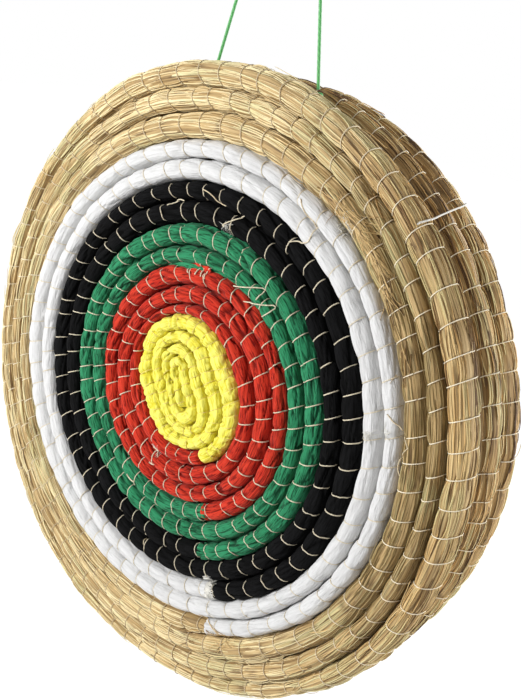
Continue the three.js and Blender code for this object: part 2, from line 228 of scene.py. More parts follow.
# Shader expressions
class Field:
    """A value or colour that varies over a surface, with the sums that act on it."""

    def __init__(self, finish, socket):
        self.finish = finish
        self.socket = socket

    def _sum(self, operation, first, second):
        return self.finish.node("ShaderNodeMath", {"operation": operation}, {0: first, 1: second})

    def __add__(self, other):
        return self._sum("ADD", self, other)

    __radd__ = __add__

    def __sub__(self, other):
        return self._sum("SUBTRACT", self, other)

    def __rsub__(self, other):
        return self._sum("SUBTRACT", other, self)

    def __mul__(self, other):
        return self._sum("MULTIPLY", self, other)

    __rmul__ = __mul__

    def most(self, other):
        return self._sum("MAXIMUM", self, other)

    def above(self, edge, softness):
        """0 below an edge and 1 above it, over a soft step."""
        settings = {"interpolation_type": "SMOOTHSTEP"}
        inputs = {"Value": self, "From Min": edge - softness, "From Max": edge + softness}
        return self.finish.node("ShaderNodeMapRange", settings, inputs)


BACKDROP_RAYS = ("Is Camera Ray", "Is Glossy Ray", "Is Transmission Ray")


class Nodes:
    """The nodes of a material or of the world."""

    def __init__(self, tree):
        self.tree = tree

    def node(self, kind, settings=None, inputs=None, output=0):
        """Any node, its settings first and then the values or links of its sockets."""
        made = self.tree.nodes.new(kind)
        for key, value in (settings or {}).items():
            if key == "stops":
                self._set_stops(made.color_ramp, value)
            else:
                setattr(made, key, value)
        for key, value in (inputs or {}).items():
            if isinstance(value, Field):
                self.tree.links.new(value.socket, made.inputs[key])
            else:
                made.inputs[key].default_value = value
        return Field(self, made.outputs[output])

    def _set_stops(self, ramp, stops):
        while len(ramp.elements) < len(stops):
            ramp.elements.new(0.5)
        for element, (place, colour) in zip(ramp.elements, stops):
            element.position = place
            element.color = (*colour, 1)

    def backdrop(self):
        """1 for the rays that see the backdrop as plain white, 0 for those that light things."""
        rays = [self.node("ShaderNodeLightPath", output=kind) for kind in BACKDROP_RAYS]
        return rays[0].most(rays[1]).most(rays[2])


class Finish(Nodes):
    """A material for one of the boss's surfaces."""

    def __init__(self, name, roughness=0.8, sheen=0.0):
        self.material = bpy.data.materials.new(name)
        self.material.use_nodes = True
        super().__init__(self.material.node_tree)
        self.shader = self.tree.nodes["Principled BSDF"]
        self.shader.inputs["Roughness"].default_value = roughness
        self.shader.inputs["Sheen Weight"].default_value = sheen

    def along_rope(self, along, around):
        """Coordinates that run with the rope, in so many cells a metre along and round it."""
        uv = self.node("ShaderNodeUVMap", {"uv_map": "UVMap"})
        return self.node("ShaderNodeMapping", inputs={0: uv, "Scale": (along, around, 1)})

    def in_space(self, cells):
        """Coordinates in the boss's space, in so many cells a metre."""
        place = self.node("ShaderNodeTexCoord", output=3)
        return self.node("ShaderNodeMapping", inputs={0: place, "Scale": (cells, cells, cells)})

    def noise(self, vector, detail=2.0, roughness=0.5, distortion=0.0):
        """Soft noise, one cell to a unit of the coordinates."""
        inputs = {"Vector": vector, "Scale": 1.0, "Detail": detail}
        inputs |= {"Roughness": roughness, "Distortion": distortion}
        return self.node("ShaderNodeTexNoise", inputs=inputs)

    def cells(self, vector):
        """Distance from the middle of each cell: flat crumples with sharp edges between."""
        return self.node("ShaderNodeTexVoronoi", inputs={"Vector": vector, "Scale": 1.0})

    def ramp(self, value, stops):
        return self.node("ShaderNodeValToRGB", {"stops": stops}, {0: value})

    def mix(self, factor, first, second, blend="MIX"):
        pick = lambda colour: colour if isinstance(colour, Field) else (*colour, 1)
        return self.node(
            "ShaderNodeMix",
            {"data_type": "RGBA", "blend_type": blend},
            {0: factor, 6: pick(first), 7: pick(second)},
            output=2,
        )

    def mark(self, name):
        """A value kept on the piece's own points."""
        return self.node("ShaderNodeAttribute", {"attribute_name": name}, output=2)

    def set(self, name, field):
        self.tree.links.new(field.socket, self.shader.inputs[name])

    def bump(self, height, distance, strength=1.0):
        inputs = {"Height": height, "Distance": distance, "Strength": strength}
        self.set("Normal", self.node("ShaderNodeBump", inputs=inputs))


def cloth_finish(name, colour, shade, crease, sheen=0.05, crumple=0.25, gloss=0.2):
    """Thin crinkled cotton, wound tight: fine creases along the rope and a close weave, with
    painted shade in its creases and hollows, in its shade and crease colours.
    """
    finish = Finish(name, roughness=0.9, sheen=sheen)
    finish.shader.inputs["Specular IOR Level"].default_value = gloss
    creases = finish.noise(finish.along_rope(60, 400), 4.0, 0.62, 0.8)
    fine = finish.noise(finish.along_rope(90, 1100), 2.0, 0.5, 0.6)
    weave = finish.noise(finish.along_rope(1500, 2600), 1.0)
    patches = finish.noise(finish.in_space(28), 2.0)
    facets = finish.cells(finish.along_rope(150, 330))
    # Painted shade: the shade colour where the bumped creases run low, with patches of tone at
    # random
    tone = creases * 0.45 + fine * 0.3 + patches * 0.25
    plain = finish.mix(tone.above(0.46, 0.11), shade, colour)
    # Painted shade: fine dark lines of the crease colour along the low creases
    lines = (0.46 - fine).above(0.03, 0.03) * 0.75
    crease_shaded = finish.mix(lines, plain, crease)
    # Painted shade in the hollows: creases, and furrows between turns, take the crease colour
    finish.set("Base Color", finish.mix(finish.mark("hollow") * 0.9, crease_shaded, crease))
    height = creases * (0.85 - crumple) + facets * crumple + fine * 0.15 + weave * 0.08
    finish.bump(height, 0.0026, 0.9)
    return finish.material


# Colours of straw: new, dry, in the dark, with a green tinge, aged and in painted shade, and
# reddened at the rim
PALE = (0.92, 0.79, 0.48)
GOLD = (0.78, 0.58, 0.28)
BROWN = (0.16, 0.085, 0.026)
SAGE = (0.62, 0.58, 0.29)
OLIVE = (0.23, 0.16, 0.045)
WARM = (0.93, 0.70, 0.42)


def straw_finish(name, pale, gold, brown, greenness):
    """Dry grass laid along the rope: pale and golden blades with dark gaps between them, and
    brown painted shade in the hollows between turns and layers.
    """
    finish = Finish(name, roughness=0.6)
    finish.shader.inputs["Specular IOR Level"].default_value = 0.35
    blades = finish.noise(finish.along_rope(16, 620), 3.0, 0.65, 0.4)
    fibres = finish.noise(finish.along_rope(40, 1900), 2.0, 0.6)
    tufts = finish.noise(finish.along_rope(11, 150), 2.0, 0.5)
    strand = blades * 0.62 + fibres * 0.2 + tufts * 0.18
    colour = finish.ramp(strand, [(0.36, brown), (0.47, gold), (0.62, pale)])
    patch = finish.noise(finish.along_rope(7, 95), 1.5).above(1 - greenness, 0.08)
    colour = finish.mix(patch * 0.7, colour, SAGE)
    # Painted shade in the hollows: creases and furrows between turns and layers take the brown
    finish.set("Base Color", finish.mix(finish.mark("hollow") * 0.8, colour, brown))
    finish.bump(blades * 0.6 + fibres * 0.25 + tufts * 0.15, 0.0012)
    return finish.material


def loose_straw_finish(name, pale, gold, brown, green, dark=0.0):
    """Single straws, each its own tone, with painted shade in the furrows and at the right,
    fibrous along its length and darker in its stains.
    """
    finish = Finish(name, roughness=0.5)
    finish.shader.inputs["Specular IOR Level"].default_value = 0.4
    tone = finish.mark("tone")
    fibres = finish.noise(finish.along_rope(60, 1700), 2.0, 0.6)
    stains = finish.noise(finish.in_space(55), 3.0, 0.6)
    shade = tone * 0.72 + fibres * 0.32 + stains * 0.25 - 0.16
    light = tuple(min(1.0, c * 1.12) for c in pale)
    stops = [(0.16 + dark, brown), (0.34 + dark, gold), (0.56 + dark, pale), (0.88, light)]
    colour = finish.ramp(shade, stops)
    colour = finish.mix(finish.mark("warm") * 0.6, colour, WARM, "MULTIPLY")
    # Darker and more olive where marked dull: partly older straw, partly painted shade
    colour = finish.mix(finish.mark("dull") * 1.1, colour, OLIVE)
    patch = finish.noise(finish.in_space(17), 1.5)
    sage = (patch + tone * 0.25).above(0.69, 0.06)
    finish.set("Base Color", finish.mix(sage * 0.5, colour, green))
    finish.bump(fibres, 0.0003, 0.7)
    return finish.material


def twine_finish(name, colour, shade, fresh=None):
    """Two-ply cotton twine: a fine twist across its run, and painted light that makes it paler
    where it is marked.
    """
    finish = Finish(name, roughness=0.75)
    plies = finish.noise(finish.along_rope(900, 300), 1.0)
    twine = finish.mix(plies.above(0.48, 0.15), shade, colour)
    # Painted light: paler twine where light is taken to fall on it
    if fresh:
        twine = finish.mix(finish.mark("fresh"), twine, fresh)
    finish.set("Base Color", twine)
    finish.bump(plies, 0.0004, 0.7)
    return finish.material


def cord_finish(name, colour, shade):
    """Laid synthetic cord: bright plies with a darker line of painted shade where they meet."""
    finish = Finish(name, roughness=0.45)
    fibres = finish.noise(finish.along_rope(300, 2200), 1.5)
    lay = finish.mark("ply")
    # Painted shade: the grooves between the plies take the shade colour
    finish.set("Base Color", finish.mix(lay * 0.8 + fibres * 0.2, shade, colour))
    finish.bump(fibres, 0.0002, 0.6)
    return finish.material


CREAM_TWINE = twine_finish("cream_twine", (0.84, 0.76, 0.58), (0.60, 0.50, 0.34))
# Its third colour is painted light: the paler twine at the sides of the face and on the rims
DULL_TWINE = twine_finish(
    "dull_twine", (0.76, 0.65, 0.45), (0.54, 0.42, 0.26), fresh=(0.92, 0.83, 0.64)
)
TAN_TWINE = twine_finish("tan_twine", (0.80, 0.73, 0.58), (0.64, 0.55, 0.40))
WHITE_TWINE = twine_finish("white_twine", (0.86, 0.85, 0.80), (0.66, 0.63, 0.56))
PEACH_TWINE = twine_finish("peach_twine", (0.90, 0.76, 0.30), (0.78, 0.62, 0.12))
GREEN_CORD = cord_finish("green_cord", (0.13, 0.52, 0.14), (0.03, 0.19, 0.06))


# Places and meshes
def from_boss(points):
    """Points of the boss's own frame, turned and lifted to where it hangs."""
    points = np.asarray(points, dtype=float)
    turned = points.copy()
    cosine, sine = math.cos(BOSS_LEAN), math.sin(BOSS_LEAN)
    turned[..., 1] = points[..., 1] * cosine - points[..., 2] * sine
    turned[..., 2] = points[..., 1] * sine + points[..., 2] * cosine + BOSS_MIDDLE_Z
    return turned


def on_clock(turns, radius, y=0.0):
    """Points of the boss's own frame at places in turns from the top."""
    angle = np.asarray(turns) * 2 * math.pi
    radius = np.asarray(radius, dtype=float)
    flat = np.broadcast_arrays(radius * np.sin(angle), y, radius * np.cos(angle))
    return np.stack(flat, axis=-1)


def make_piece(name, points, faces, finish, body, uv, marks=None):
    """A finished mesh piece, riding on its body."""
    mesh = bpy.data.meshes.new(name)
    mesh.from_pydata(np.asarray(points).reshape(-1, 3).tolist(), [], faces)
    layer = mesh.uv_layers.new(name="UVMap")
    layer.data.foreach_set("uv", np.asarray(uv, dtype=np.float32).ravel())
    for key, values in (marks or {}).items():
        held = mesh.attributes.new(key, "FLOAT", "POINT")
        held.data.foreach_set("value", np.asarray(values, dtype=np.float32).ravel())
    mesh.materials.append(finish)
    mesh.shade_smooth()
    made = bpy.data.objects.new(name, mesh)
    bpy.context.collection.objects.link(made)
    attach(made, body)
    return made


def tube_mesh(centres, normals, radius, sides, width_share=1.0):
    """Closed tubes along K paths of P points: their points, faces and UVs."""
    paths, steps = centres.shape[:2]
    tangents = np.gradient(centres, axis=1)
    tangents /= np.linalg.norm(tangents, axis=-1, keepdims=True)
    normals = normals - tangents * np.sum(normals * tangents, -1, keepdims=True)
    normals /= np.linalg.norm(normals, axis=-1, keepdims=True)
    sidewards = np.cross(tangents, normals)
    radius = np.broadcast_to(radius, (paths, steps))[..., None, None]
    angles = (np.arange(sides) / sides * 2 * math.pi)[:, None]
    width_share = np.reshape(width_share, (-1, 1, 1, 1))
    ring = normals[:, :, None] * np.cos(angles)
    ring = ring + sidewards[:, :, None] * np.sin(angles) * width_share
    points = centres[:, :, None] + ring * radius
    index = np.arange(paths * steps * sides).reshape(paths, steps, sides)
    after = np.roll(index, -1, axis=2)
    quads = np.stack([index[:, :-1], index[:, 1:], after[:, 1:], after[:, :-1]], axis=-1)
    quads = quads[..., ::-1]
    faces = quads.reshape(-1, 4).tolist()
    faces += index[:, 0].tolist() + index[:, -1, ::-1].tolist()
    walked = np.linalg.norm(np.diff(centres, axis=1), axis=-1).cumsum(axis=1)
    walked = np.concatenate([np.zeros((paths, 1)), walked], axis=1)
    girth = 2 * math.pi * float(np.max(radius))
    along = np.broadcast_to(walked[..., None], index.shape)
    near = np.broadcast_to(np.arange(sides) / sides * girth, index.shape)
    far = near + girth / sides
    corner = lambda u, v: np.stack([u, v], axis=-1)
    uv = np.stack(
        [
            corner(along[:, :-1], near[:, :-1]),
            corner(along[:, 1:], near[:, 1:]),
            corner(along[:, 1:], far[:, 1:]),
            corner(along[:, :-1], far[:, :-1]),
        ],
        axis=-2,
    )[..., ::-1, :].reshape(-1, 2)
    ends = [along[:, 0], along[:, -1]]
    caps = [corner(end, near[:, 0]).reshape(-1, 2) for end in ends]
    return points, faces, np.concatenate([uv, *caps])


# Cords
def laid_cord(name, path, body, lay=CORD_LAY, sides=18):
    """A tube of three laid plies."""
    path = np.asarray(path, dtype=float)
    normals = np.broadcast_to((0.0, 1.0, 0.02), path.shape)[None]
    points, faces, uv = tube_mesh(path[None], normals, CORD_DIAMETER / 2 * PLY_CORE_SHARE, sides)
    walked = np.linalg.norm(np.diff(path, axis=0), axis=-1).cumsum()
    walked = np.concatenate([[0.0], walked])[None, :, None]
    turn = np.arange(sides)[None, None] / sides * 2 * math.pi
    ply = np.abs(np.cos(1.5 * (turn - walked / lay * 2 * math.pi)))
    swell = PLY_SWELL[0] + PLY_SWELL[1] * ply**0.7
    points = path[None, :, None] + (points - path[None, :, None]) * swell[..., None]
    return make_piece(name, points, faces, GREEN_CORD, body, uv, {"ply": ply**0.8})


def smooth_path(points, steps):
    """A smooth line of evenly spread points through a few chosen ones."""
    points = np.asarray(points, dtype=float)
    fine = np.linspace(0, len(points) - 1, 40 * len(points))
    curve = np.stack([smooth_at(points[:, k], fine) for k in range(3)], axis=-1)
    walked = np.concatenate([[0], np.linalg.norm(np.diff(curve, axis=0), axis=1).cumsum()])
    evenly = np.linspace(0, walked[-1], steps + 1)
    return np.stack([np.interp(evenly, walked, curve[:, k]) for k in range(3)], axis=-1)


def smooth_at(values, place):
    """Values between the entries of a list, on a smooth line through them."""
    values = np.asarray(values, dtype=float)
    last = len(values) - 1
    index = np.clip(np.floor(place), 0, last - 1).astype(int)
    share = np.clip(place - index, 0, 1)
    entry = lambda shift: values[np.clip(index + shift, 0, last)]
    low, high = entry(0), entry(1)
    rise, fall = (high - entry(-1)) / 2, (entry(2) - low) / 2
    square, cube = share**2, share**3
    return (
        low * (2 * cube - 3 * square + 1)
        + rise * (cube - 2 * square + share)
        + high * (3 * square - 2 * cube)
        + fall * (cube - square)
    )


def wound_knot(name, centre, body, wraps, tail, radius):
    """A cord wound a few wraps round the X axis, one end left standing."""
    angles = np.linspace(0, wraps * 2 * math.pi, wraps * KNOT_STEPS + 1)
    across = (angles / (2 * math.pi) - wraps / 2) * CORD_DIAMETER
    path = np.stack([across, radius * np.sin(angles), radius * np.cos(angles)], axis=-1)
    end = path[-1] + np.outer(np.linspace(0.25, 1, 5), tail)
    start = path[0] + np.outer(np.linspace(1, 0.25, 3), KNOT_START)
    path = smooth_path(np.concatenate([start, path, end]), wraps * KNOT_RINGS + 20)
    return laid_cord(name, path + np.asarray(centre), body, KNOT_LAY, 12)


for side, sign in (("left", -1), ("right", 1)):
    lower = np.array(CORD_LOWER) * (sign, 1, 1)
    upper = np.array(CORD_UPPER) * (sign, 1, 1)
    along = (upper - lower) / np.linalg.norm(upper - lower)
    foot, head = lower + along * FOOT_RISE, upper - along * HEAD_DROP
    route = foot + np.linspace(0, 1, 33)[:, None] * (head - foot)
    cord = laid_cord(f"{side}_hanging_cord", route, "cords")
    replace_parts(cord, f"{side}_cord")

    loop_points = [(-x, 0, z) for x, z in LOOP_HALF] + [(0, 0, LOOP_TOP)]
    loop_points += [(x, 0, z) for x, z in reversed(LOOP_HALF)]
    loop = laid_cord(f"{side}_loop", smooth_path(np.array(loop_points) + upper, 90), "hangers")
    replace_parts(loop, f"{side}_hang_loop")
    loop_knot = wound_knot(
        f"{side}_end_knot", upper, "hangers", 3, (0.002 * sign, -0.001, -0.006), 0.00235
    )
    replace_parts(loop_knot, f"{side}_loop_knot")
    hitch = lower - along * HITCH_DROP
    tie_knot = wound_knot(f"{side}_foot_hitch", hitch, "boss", 2, (0.002, 0.001, -0.004), 0.0016)
    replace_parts(tie_knot, f"{side}_tie_knot")
    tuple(route[0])
    float(np.linalg.norm(head - foot))


# Ropes
class Ripple:
    """Smooth noise from a table of chance values, closed round the rope."""

    def __init__(self, seed, cells_around):
        self.around = cells_around
        self.table = np.random.RandomState(seed).uniform(-1, 1, (RIPPLE_ROWS, cells_around))

    def __call__(self, along, share):
        """The noise, from -1 to 1, at places in cells along the rope and shares round it."""
        across = share * self.around
        low_a, low_b = np.floor(along).astype(int), np.floor(across).astype(int)
        a, b = along - low_a, across - low_b
        a, b = a * a * (3 - 2 * a), b * b * (3 - 2 * b)
        at = lambda i, j: self.table[(low_a + i) % RIPPLE_ROWS, (low_b + j) % self.around]
        near = at(0, 0) * (1 - b) + at(0, 1) * b
        far = at(1, 0) * (1 - b) + at(1, 1) * b
        return near * (1 - a) + far * a


class Outline:
    """A rope's outline across its run, walked by its own length from a hidden seam."""

    def __init__(self, width, depth, fullness, seam):
        self.angles = seam + np.linspace(0, 2 * math.pi, OUTLINE_STEPS + 1)
        self.fullness = fullness
        across, deep = self.corner(self.angles)
        steps = np.hypot(np.diff(across) * width, np.diff(deep) * depth)
        walked = np.concatenate([[0.0], steps.cumsum()])
        self.girth = walked[-1]
        self.shares = walked / self.girth

    def corner(self, angles):
        """Places of the outline at angles round its middle, as shares of its half sizes."""
        power = 2 / self.fullness
        cosine, sine = np.cos(angles), np.sin(angles)
        return (
            np.sign(cosine) * np.abs(cosine) ** power,
            np.sign(sine) * np.abs(sine) ** power,
        )

    def at(self, share):
        """Places at shares of the way round it, as shares of its half sizes."""
        return self.corner(np.interp(share % 1, self.shares, self.angles))

    def share_at(self, angle):
        seam = self.angles[0]
        return np.interp((angle - seam) % (2 * math.pi) + seam, self.angles, self.shares)


def even_wear_and_light(place):
    """How dull straw is, partly as painted shade, how streaked and warm, and how much painted light
    its twine takes: the same all along.
    """
    none = np.zeros(np.shape(place))
    return {"dull": none, "streak": none + 1, "warm": none + 1, "fresh": none + 1}


class Rope:
    """One wound rope: its middle line, its width and depth, and the relief of its skin."""

    def __init__(self, inner, outer, depth, look, seed, seam, tucked=(0, 0)):
        self.middle = (inner + outer) / 2
        self.reach = (outer - inner) / 2
        self.depth = np.broadcast_to(depth, len(inner))
        steps = np.linalg.norm(np.diff(self.middle, axis=0), axis=1)
        self.lengths = np.concatenate([[0.0], steps.cumsum()])
        self.length = self.lengths[-1]
        widths = np.linalg.norm(self.reach, axis=1)
        self.outline = Outline(np.median(widths), HALF_DEPTH, look["fullness"], seam)
        self.look = look
        self.tucked = tucked
        self.covered_to = math.inf
        self.wear_and_light = even_wear_and_light
        self.chance = np.random.RandomState(seed)
        self.stitches = self._set_stitches()
        self.plumpness = self.chance.uniform(0, 1, PUFF_KINDS)
        self.folds = Ripple(seed + 1, look["cells"])
        self.runs = Ripple(seed + 4, look["cells"] // 2)
        self.lumps = Ripple(seed + 2, LUMP_CELLS)
        self.strands = Ripple(seed + 3, look["cells"] * 2)
        self.tufts = Ripple(seed + 5, TUFTS_AROUND)

    def _set_stitches(self):
        """Places along the rope, nearly even, from just before its start to just past its end."""
        gap = self.look["stitch_gap"]
        count = max(2, round(self.length / gap))
        evenly = (np.arange(-2, count + 2) + 0.5) * self.length / count
        return evenly + self.chance.uniform(-STITCH_STRAY, STITCH_STRAY, len(evenly)) * gap

    def between(self, place):
        """Which puff a place is in, and how far along it."""
        after = np.clip(np.searchsorted(self.stitches, place), 1, len(self.stitches) - 1)
        low, high = self.stitches[after - 1], self.stitches[after]
        return after, np.clip((place - low) / (high - low), 0, 1)

    def relief(self, place, share, across, deep, width):
        """Height of the skin: puffs between stitches, folds along the rope, strands, lumps."""
        look = self.look
        puff, phase = self.between(place)
        swell = np.sin(math.pi * phase) ** look["roundness"]
        size = LEAST_PLUMP + PLUMP_RANGE * self.plumpness[puff % len(self.plumpness)]
        from_stitch = np.clip(np.minimum(phase, 1 - phase) / HELD_REACH, 0, 1)
        loose = HELD_RELIEF + (1 - HELD_RELIEF) * from_stitch
        twisted = share + place * look["twist"]
        folds = self.folds(puff * FOLD_STEP + phase * look["fold_run"], twisted)
        reach = self.runs(puff * RUN_STEP + phase * 0.5, twisted)
        crease = np.exp(-((folds / CREASE_WIDTH) ** 2))
        crease *= np.clip(CREASE_REACH - swell + reach, 0, 1)
        strands = self.strands(place / look["strand_length"], twisted)
        lumps = self.lumps(place / look["lump_length"], share)
        height = (
            look["squeeze"] * (size * swell - MEAN_SWELL)
            + look["fold"] * (np.abs(folds) ** 0.6 - MEAN_FOLD) * loose
            - look["crease"] * crease * loose
            + look["strand"] * (np.abs(strands) - MEAN_STRAND) * loose
            + look["lump"] * lumps
            - look["rim_round"] * np.maximum(across, 0) * self.rim_depth(deep) ** 2
        )
        # Painted shade: how far the colour darkens in the creases and down in the furrows, where
        # shade falls
        furrow = self.furrow(place, across, deep) * look["furrow"]
        hollow = np.maximum(crease * loose, furrow**1.5)
        return height * np.clip(width / look["full_width"], LEAST_RELIEF, 1), hollow

    def furrow(self, place, across, deep):
        """How far down between two turns or two layers a point lies."""
        past = lambda reach, start: np.clip((reach - start) / (1 - start), 0, 1)
        inner = past(-across, FURROW_FROM)
        outer = past(across, FURROW_FROM) * (place < self.covered_to)
        layer = past(self.rim_depth(deep), LAYER_FROM) * (across > 0)
        return np.maximum(np.maximum(inner, outer), layer)

    def rim_depth(self, deep):
        """How far towards the layer beside it a point lies, where there is one."""
        side = self.look["rim_side"]
        return np.abs(deep) if side == 0 else np.maximum(deep * side, 0)

    def skin(self, place, share, lift=0.0):
        """Points of the skin, their outward directions and the painted shade of its hollows, at
        places along the rope, which lean with the stitches, and shares round it."""
        place, share = np.broadcast_arrays(place, share)
        across, deep = self.outline.at(share)
        from_end = np.clip(np.minimum(place, self.length - place) / LEAN_FADE, 0, 1)
        s = np.clip(place - self.look["slant"] * across * from_end, 0, self.length)
        column = lambda values: np.interp(s, self.lengths, values)
        middle, reach = (
            np.stack([column(line[:, k]) for k in range(3)], axis=-1)
            for line in (self.middle, self.reach)
        )
        depth = column(self.depth)
        width = np.linalg.norm(reach, axis=-1)
        to_end = np.minimum(place, self.length - place) / self.look["end_round"]
        taper = np.sqrt(np.clip(1 - (1 - np.clip(to_end, 0, 1)) ** 2, LEAST_TAPER, 1))
        power = self.look["fullness"] - 1
        out = np.sign(across) * np.abs(across) ** power / width
        forth = np.sign(deep) * np.abs(deep) ** power / depth
        normal = reach / width[..., None] * out[..., None]
        normal[..., 1] += forth
        normal /= np.linalg.norm(normal, axis=-1, keepdims=True)
        points = middle + reach * (across * taper)[..., None]
        points[..., 1] += depth * deep * taper
        height, hollow = self.relief(place, share, across, deep, width)
        height = height * taper - self.tuck(place)
        return points + normal * (height + lift)[..., None], normal, hollow

    def tuck(self, s):
        """How far an end sinks where the next wrap laps over it."""
        sunk = lambda to_end: np.clip((LAP_LENGTH * 1.5 - to_end) / (LAP_LENGTH * 0.5), 0, 1)
        return LAP_DEPTH * (self.tucked[0] * sunk(s) + self.tucked[1] * sunk(self.length - s))

    def share_spread(self, hidden_sides, shown_sides, shown_from, shown_to):
        """Shares round the rope, close together where it shows."""
        low, high = sorted(self.outline.share_at(angle) for angle in (shown_from, shown_to))
        shown = np.linspace(low, high, shown_sides, endpoint=False)
        rest = 1 - (high - low)
        before = max(1, round(hidden_sides * low / rest))
        after = max(1, hidden_sides - before)
        first = np.linspace(0, low, before, endpoint=False)
        return np.concatenate([first, shown, np.linspace(high, 1, after, endpoint=False)])

    def rings(self, step):
        """Places of the mesh's rings: at every stitch, and closer together beside it."""
        gaps = np.diff(self.stitches)
        count = max(4, round(self.look["stitch_gap"] / step))
        even = np.arange(count) / count
        phases = even - RING_CROWDING * np.sin(2 * math.pi * even) / (2 * math.pi)
        places = (self.stitches[:-1, None] + gaps[:, None] * phases).ravel()
        end = self.look["end_round"]
        near = end * END_RINGS
        margin = end * END_MARGIN
        inside = places[(places > margin) & (places < self.length - margin)]
        return np.concatenate([near, inside, self.length - near[::-1]])

    def build(self, name, step, shares, finish, slot):
        """The skin as one closed piece."""
        places = self.rings(step)
        points, _, hollow = self.skin(places[:, None], shares[None, :])
        rings, sides = len(places), len(shares)
        index = np.arange(rings * sides).reshape(rings, sides)
        after = np.roll(index, -1, axis=1)
        quads = np.stack([index[:-1], index[1:], after[1:], after[:-1]], axis=-1)
        girth = self.outline.girth
        far = np.append(shares[1:], 1.0) * girth
        near = shares * girth
        low, high = places[:-1, None], places[1:, None]
        spread = lambda u, v: np.stack(np.broadcast_arrays(u, v[None, :]), axis=-1)
        uv = np.stack(
            [spread(low, near), spread(high, near), spread(high, far), spread(low, far)],
            axis=-2,
        )
        flip = enclosed(points, quads) < 0
        quads = quads.reshape(-1, 4)
        uv = uv.reshape(-1, 4, 2)
        caps = [index[0, ::-1], index[-1]]
        if flip:
            quads, uv = quads[:, ::-1], uv[:, ::-1]
            caps = [cap[::-1] for cap in caps]
        faces = quads.tolist() + [cap.tolist() for cap in caps]
        flat_uv = [uv.reshape(-1, 2)]
        for cap, place in zip(caps, (places[0], places[-1])):
            flat_uv.append(np.stack([np.full(sides, place), near[cap % sides]], axis=-1))
        return make_piece(
            name, from_boss(points), faces, finish, "boss", np.concatenate(flat_uv),
            {"hollow": hollow},
        )  # fmt: skip

    def sew(self, name, from_angle, to_angle, finish, lift, steps, thickness):
        """The twine's stitches over the rope, sunk a little into it."""
        radius = TWINE_RADIUS * thickness
        from_end = np.minimum(self.stitches, self.length - self.stitches)
        places = self.stitches[from_end > STITCH_MARGIN]
        angles = np.linspace(from_angle, to_angle, steps + 1)
        shares = self.outline.share_at(angles)
        across = self.outline.corner(angles)[0]
        wander = self.chance.uniform(-1, 1, (len(places), 2)) * STITCH_WANDER
        sway = wander[:, :1] + wander[:, 1:] * across[None]
        sunk = np.full(steps + 1, lift + radius * STITCH_RISE)
        sunk[[0, -1]] -= radius * STITCH_END_DIP
        centres, normals, _ = self.skin(places[:, None] + sway, shares[None], sunk[None])
        points, faces, uv = tube_mesh(centres, normals, radius, TWINE_SIDES)
        # Painted light: how much paler each stitch is painted, by its place round the face
        fresh = np.broadcast_to(self.wear_and_light(places)["fresh"][:, None, None], points.shape[:3])
        return make_piece(
            name, from_boss(points), faces, finish, "boss", uv, {"fresh": fresh}
        )

    def thatch(
        self, name, seed, count, from_angle, to_angle, finish, slot, broad=1.0, from_place=0.0
    ):
        """Loose straws laid along the rope, drawn in where each stitch holds them."""
        chance = np.random.RandomState(seed)
        gaps = np.diff(self.stitches)
        stations = (self.stitches[:-1, None] + gaps[:, None] * STRAW_PHASES).ravel()
        freedom = np.tile(STRAW_FREEDOM, len(gaps))
        inside = np.minimum(stations, self.length - stations) > STRAW_MARGIN
        stations, freedom = stations[inside], freedom[inside]
        steps = STRAW_PUFFS * len(STRAW_PHASES) + 1
        first = chance.randint(np.searchsorted(stations, from_place), len(stations) - steps, count)
        index = first[:, None] + np.arange(steps)
        t = np.linspace(0, 1, steps)
        low, high = sorted(self.outline.share_at(np.array([from_angle, to_angle])))
        place = chance.uniform(low, high, (count, 1))
        drift = chance.normal(0, STRAW_DRIFT, (count, 1)) * (t - 0.5)
        weave = chance.normal(0, STRAW_WEAVE, (count, 1)) * np.sin(
            t * chance.uniform(*STRAW_WAVES, (count, 1))
            + chance.uniform(*STRAW_WAVE_START, (count, 1))
        )
        share = place + drift + weave
        ends = np.abs(2 * t - 1)
        lift = chance.uniform(*STRAW_LIFT, (count, 1)) * freedom[index]
        lift = lift - STRAW_END_DIP * ends**10
        frayed = chance.uniform(0, 1, (count, 1)) < FRAYED_SHARE
        loose = np.where(chance.uniform(0, 1, (count, 1)) < 0.5, t, 1 - t)
        rise = chance.uniform(*FRAYED_RISE, (count, 1)) * loose**5
        lift = lift + frayed * (FRAYED_LIFT + rise)
        centres, normals, _ = self.skin(stations[index], share, lift)
        width = chance.uniform(*STRAW_HALF_WIDTH, (count, 1)) * np.where(frayed, FRAYED_WIDTH, 1)
        thick = chance.uniform(*STRAW_HALF_THICKNESS, (count, 1)) * (1 - 0.5 * ends**8)
        flatness = broad * width / np.mean(STRAW_HALF_THICKNESS)
        points, faces, uv = tube_mesh(centres, normals, thick, 4, flatness)
        marks = {
            key: np.broadcast_to(values[..., None], points.shape[:3])
            for key, values in self.straw_marks(chance, stations[index], share).items()
        }
        return make_piece(name, from_boss(points), faces, finish, "boss", uv, marks)

    def straw_marks(self, chance, place, share):
        """How light, dull and warm each loose straw is along its run; its tone takes painted shade
        in the furrows, and where it is dull.
        """
        wear_and_light = self.wear_and_light(place)
        streak = wear_and_light["streak"]
        spread = TONE_RANGE + TONE_RANGE * streak
        own = chance.beta(*TONE_CHANCE, (len(place), 1)) - MEAN_TONE_CHANCE
        tufts = self.tufts(place / TUFT_LENGTH, share)
        tone = STRAW_TONE + own * spread
        tone = tone + tufts * (TUFT_TONE + STREAKED_TUFT_TONE * streak) - STREAK_SHADE * streak
        stained = chance.uniform(0, 1, (len(place), 1)) < STAINED_SHARE * streak
        tone = np.clip(np.where(stained, STAIN_TONE, tone), 0, 1)
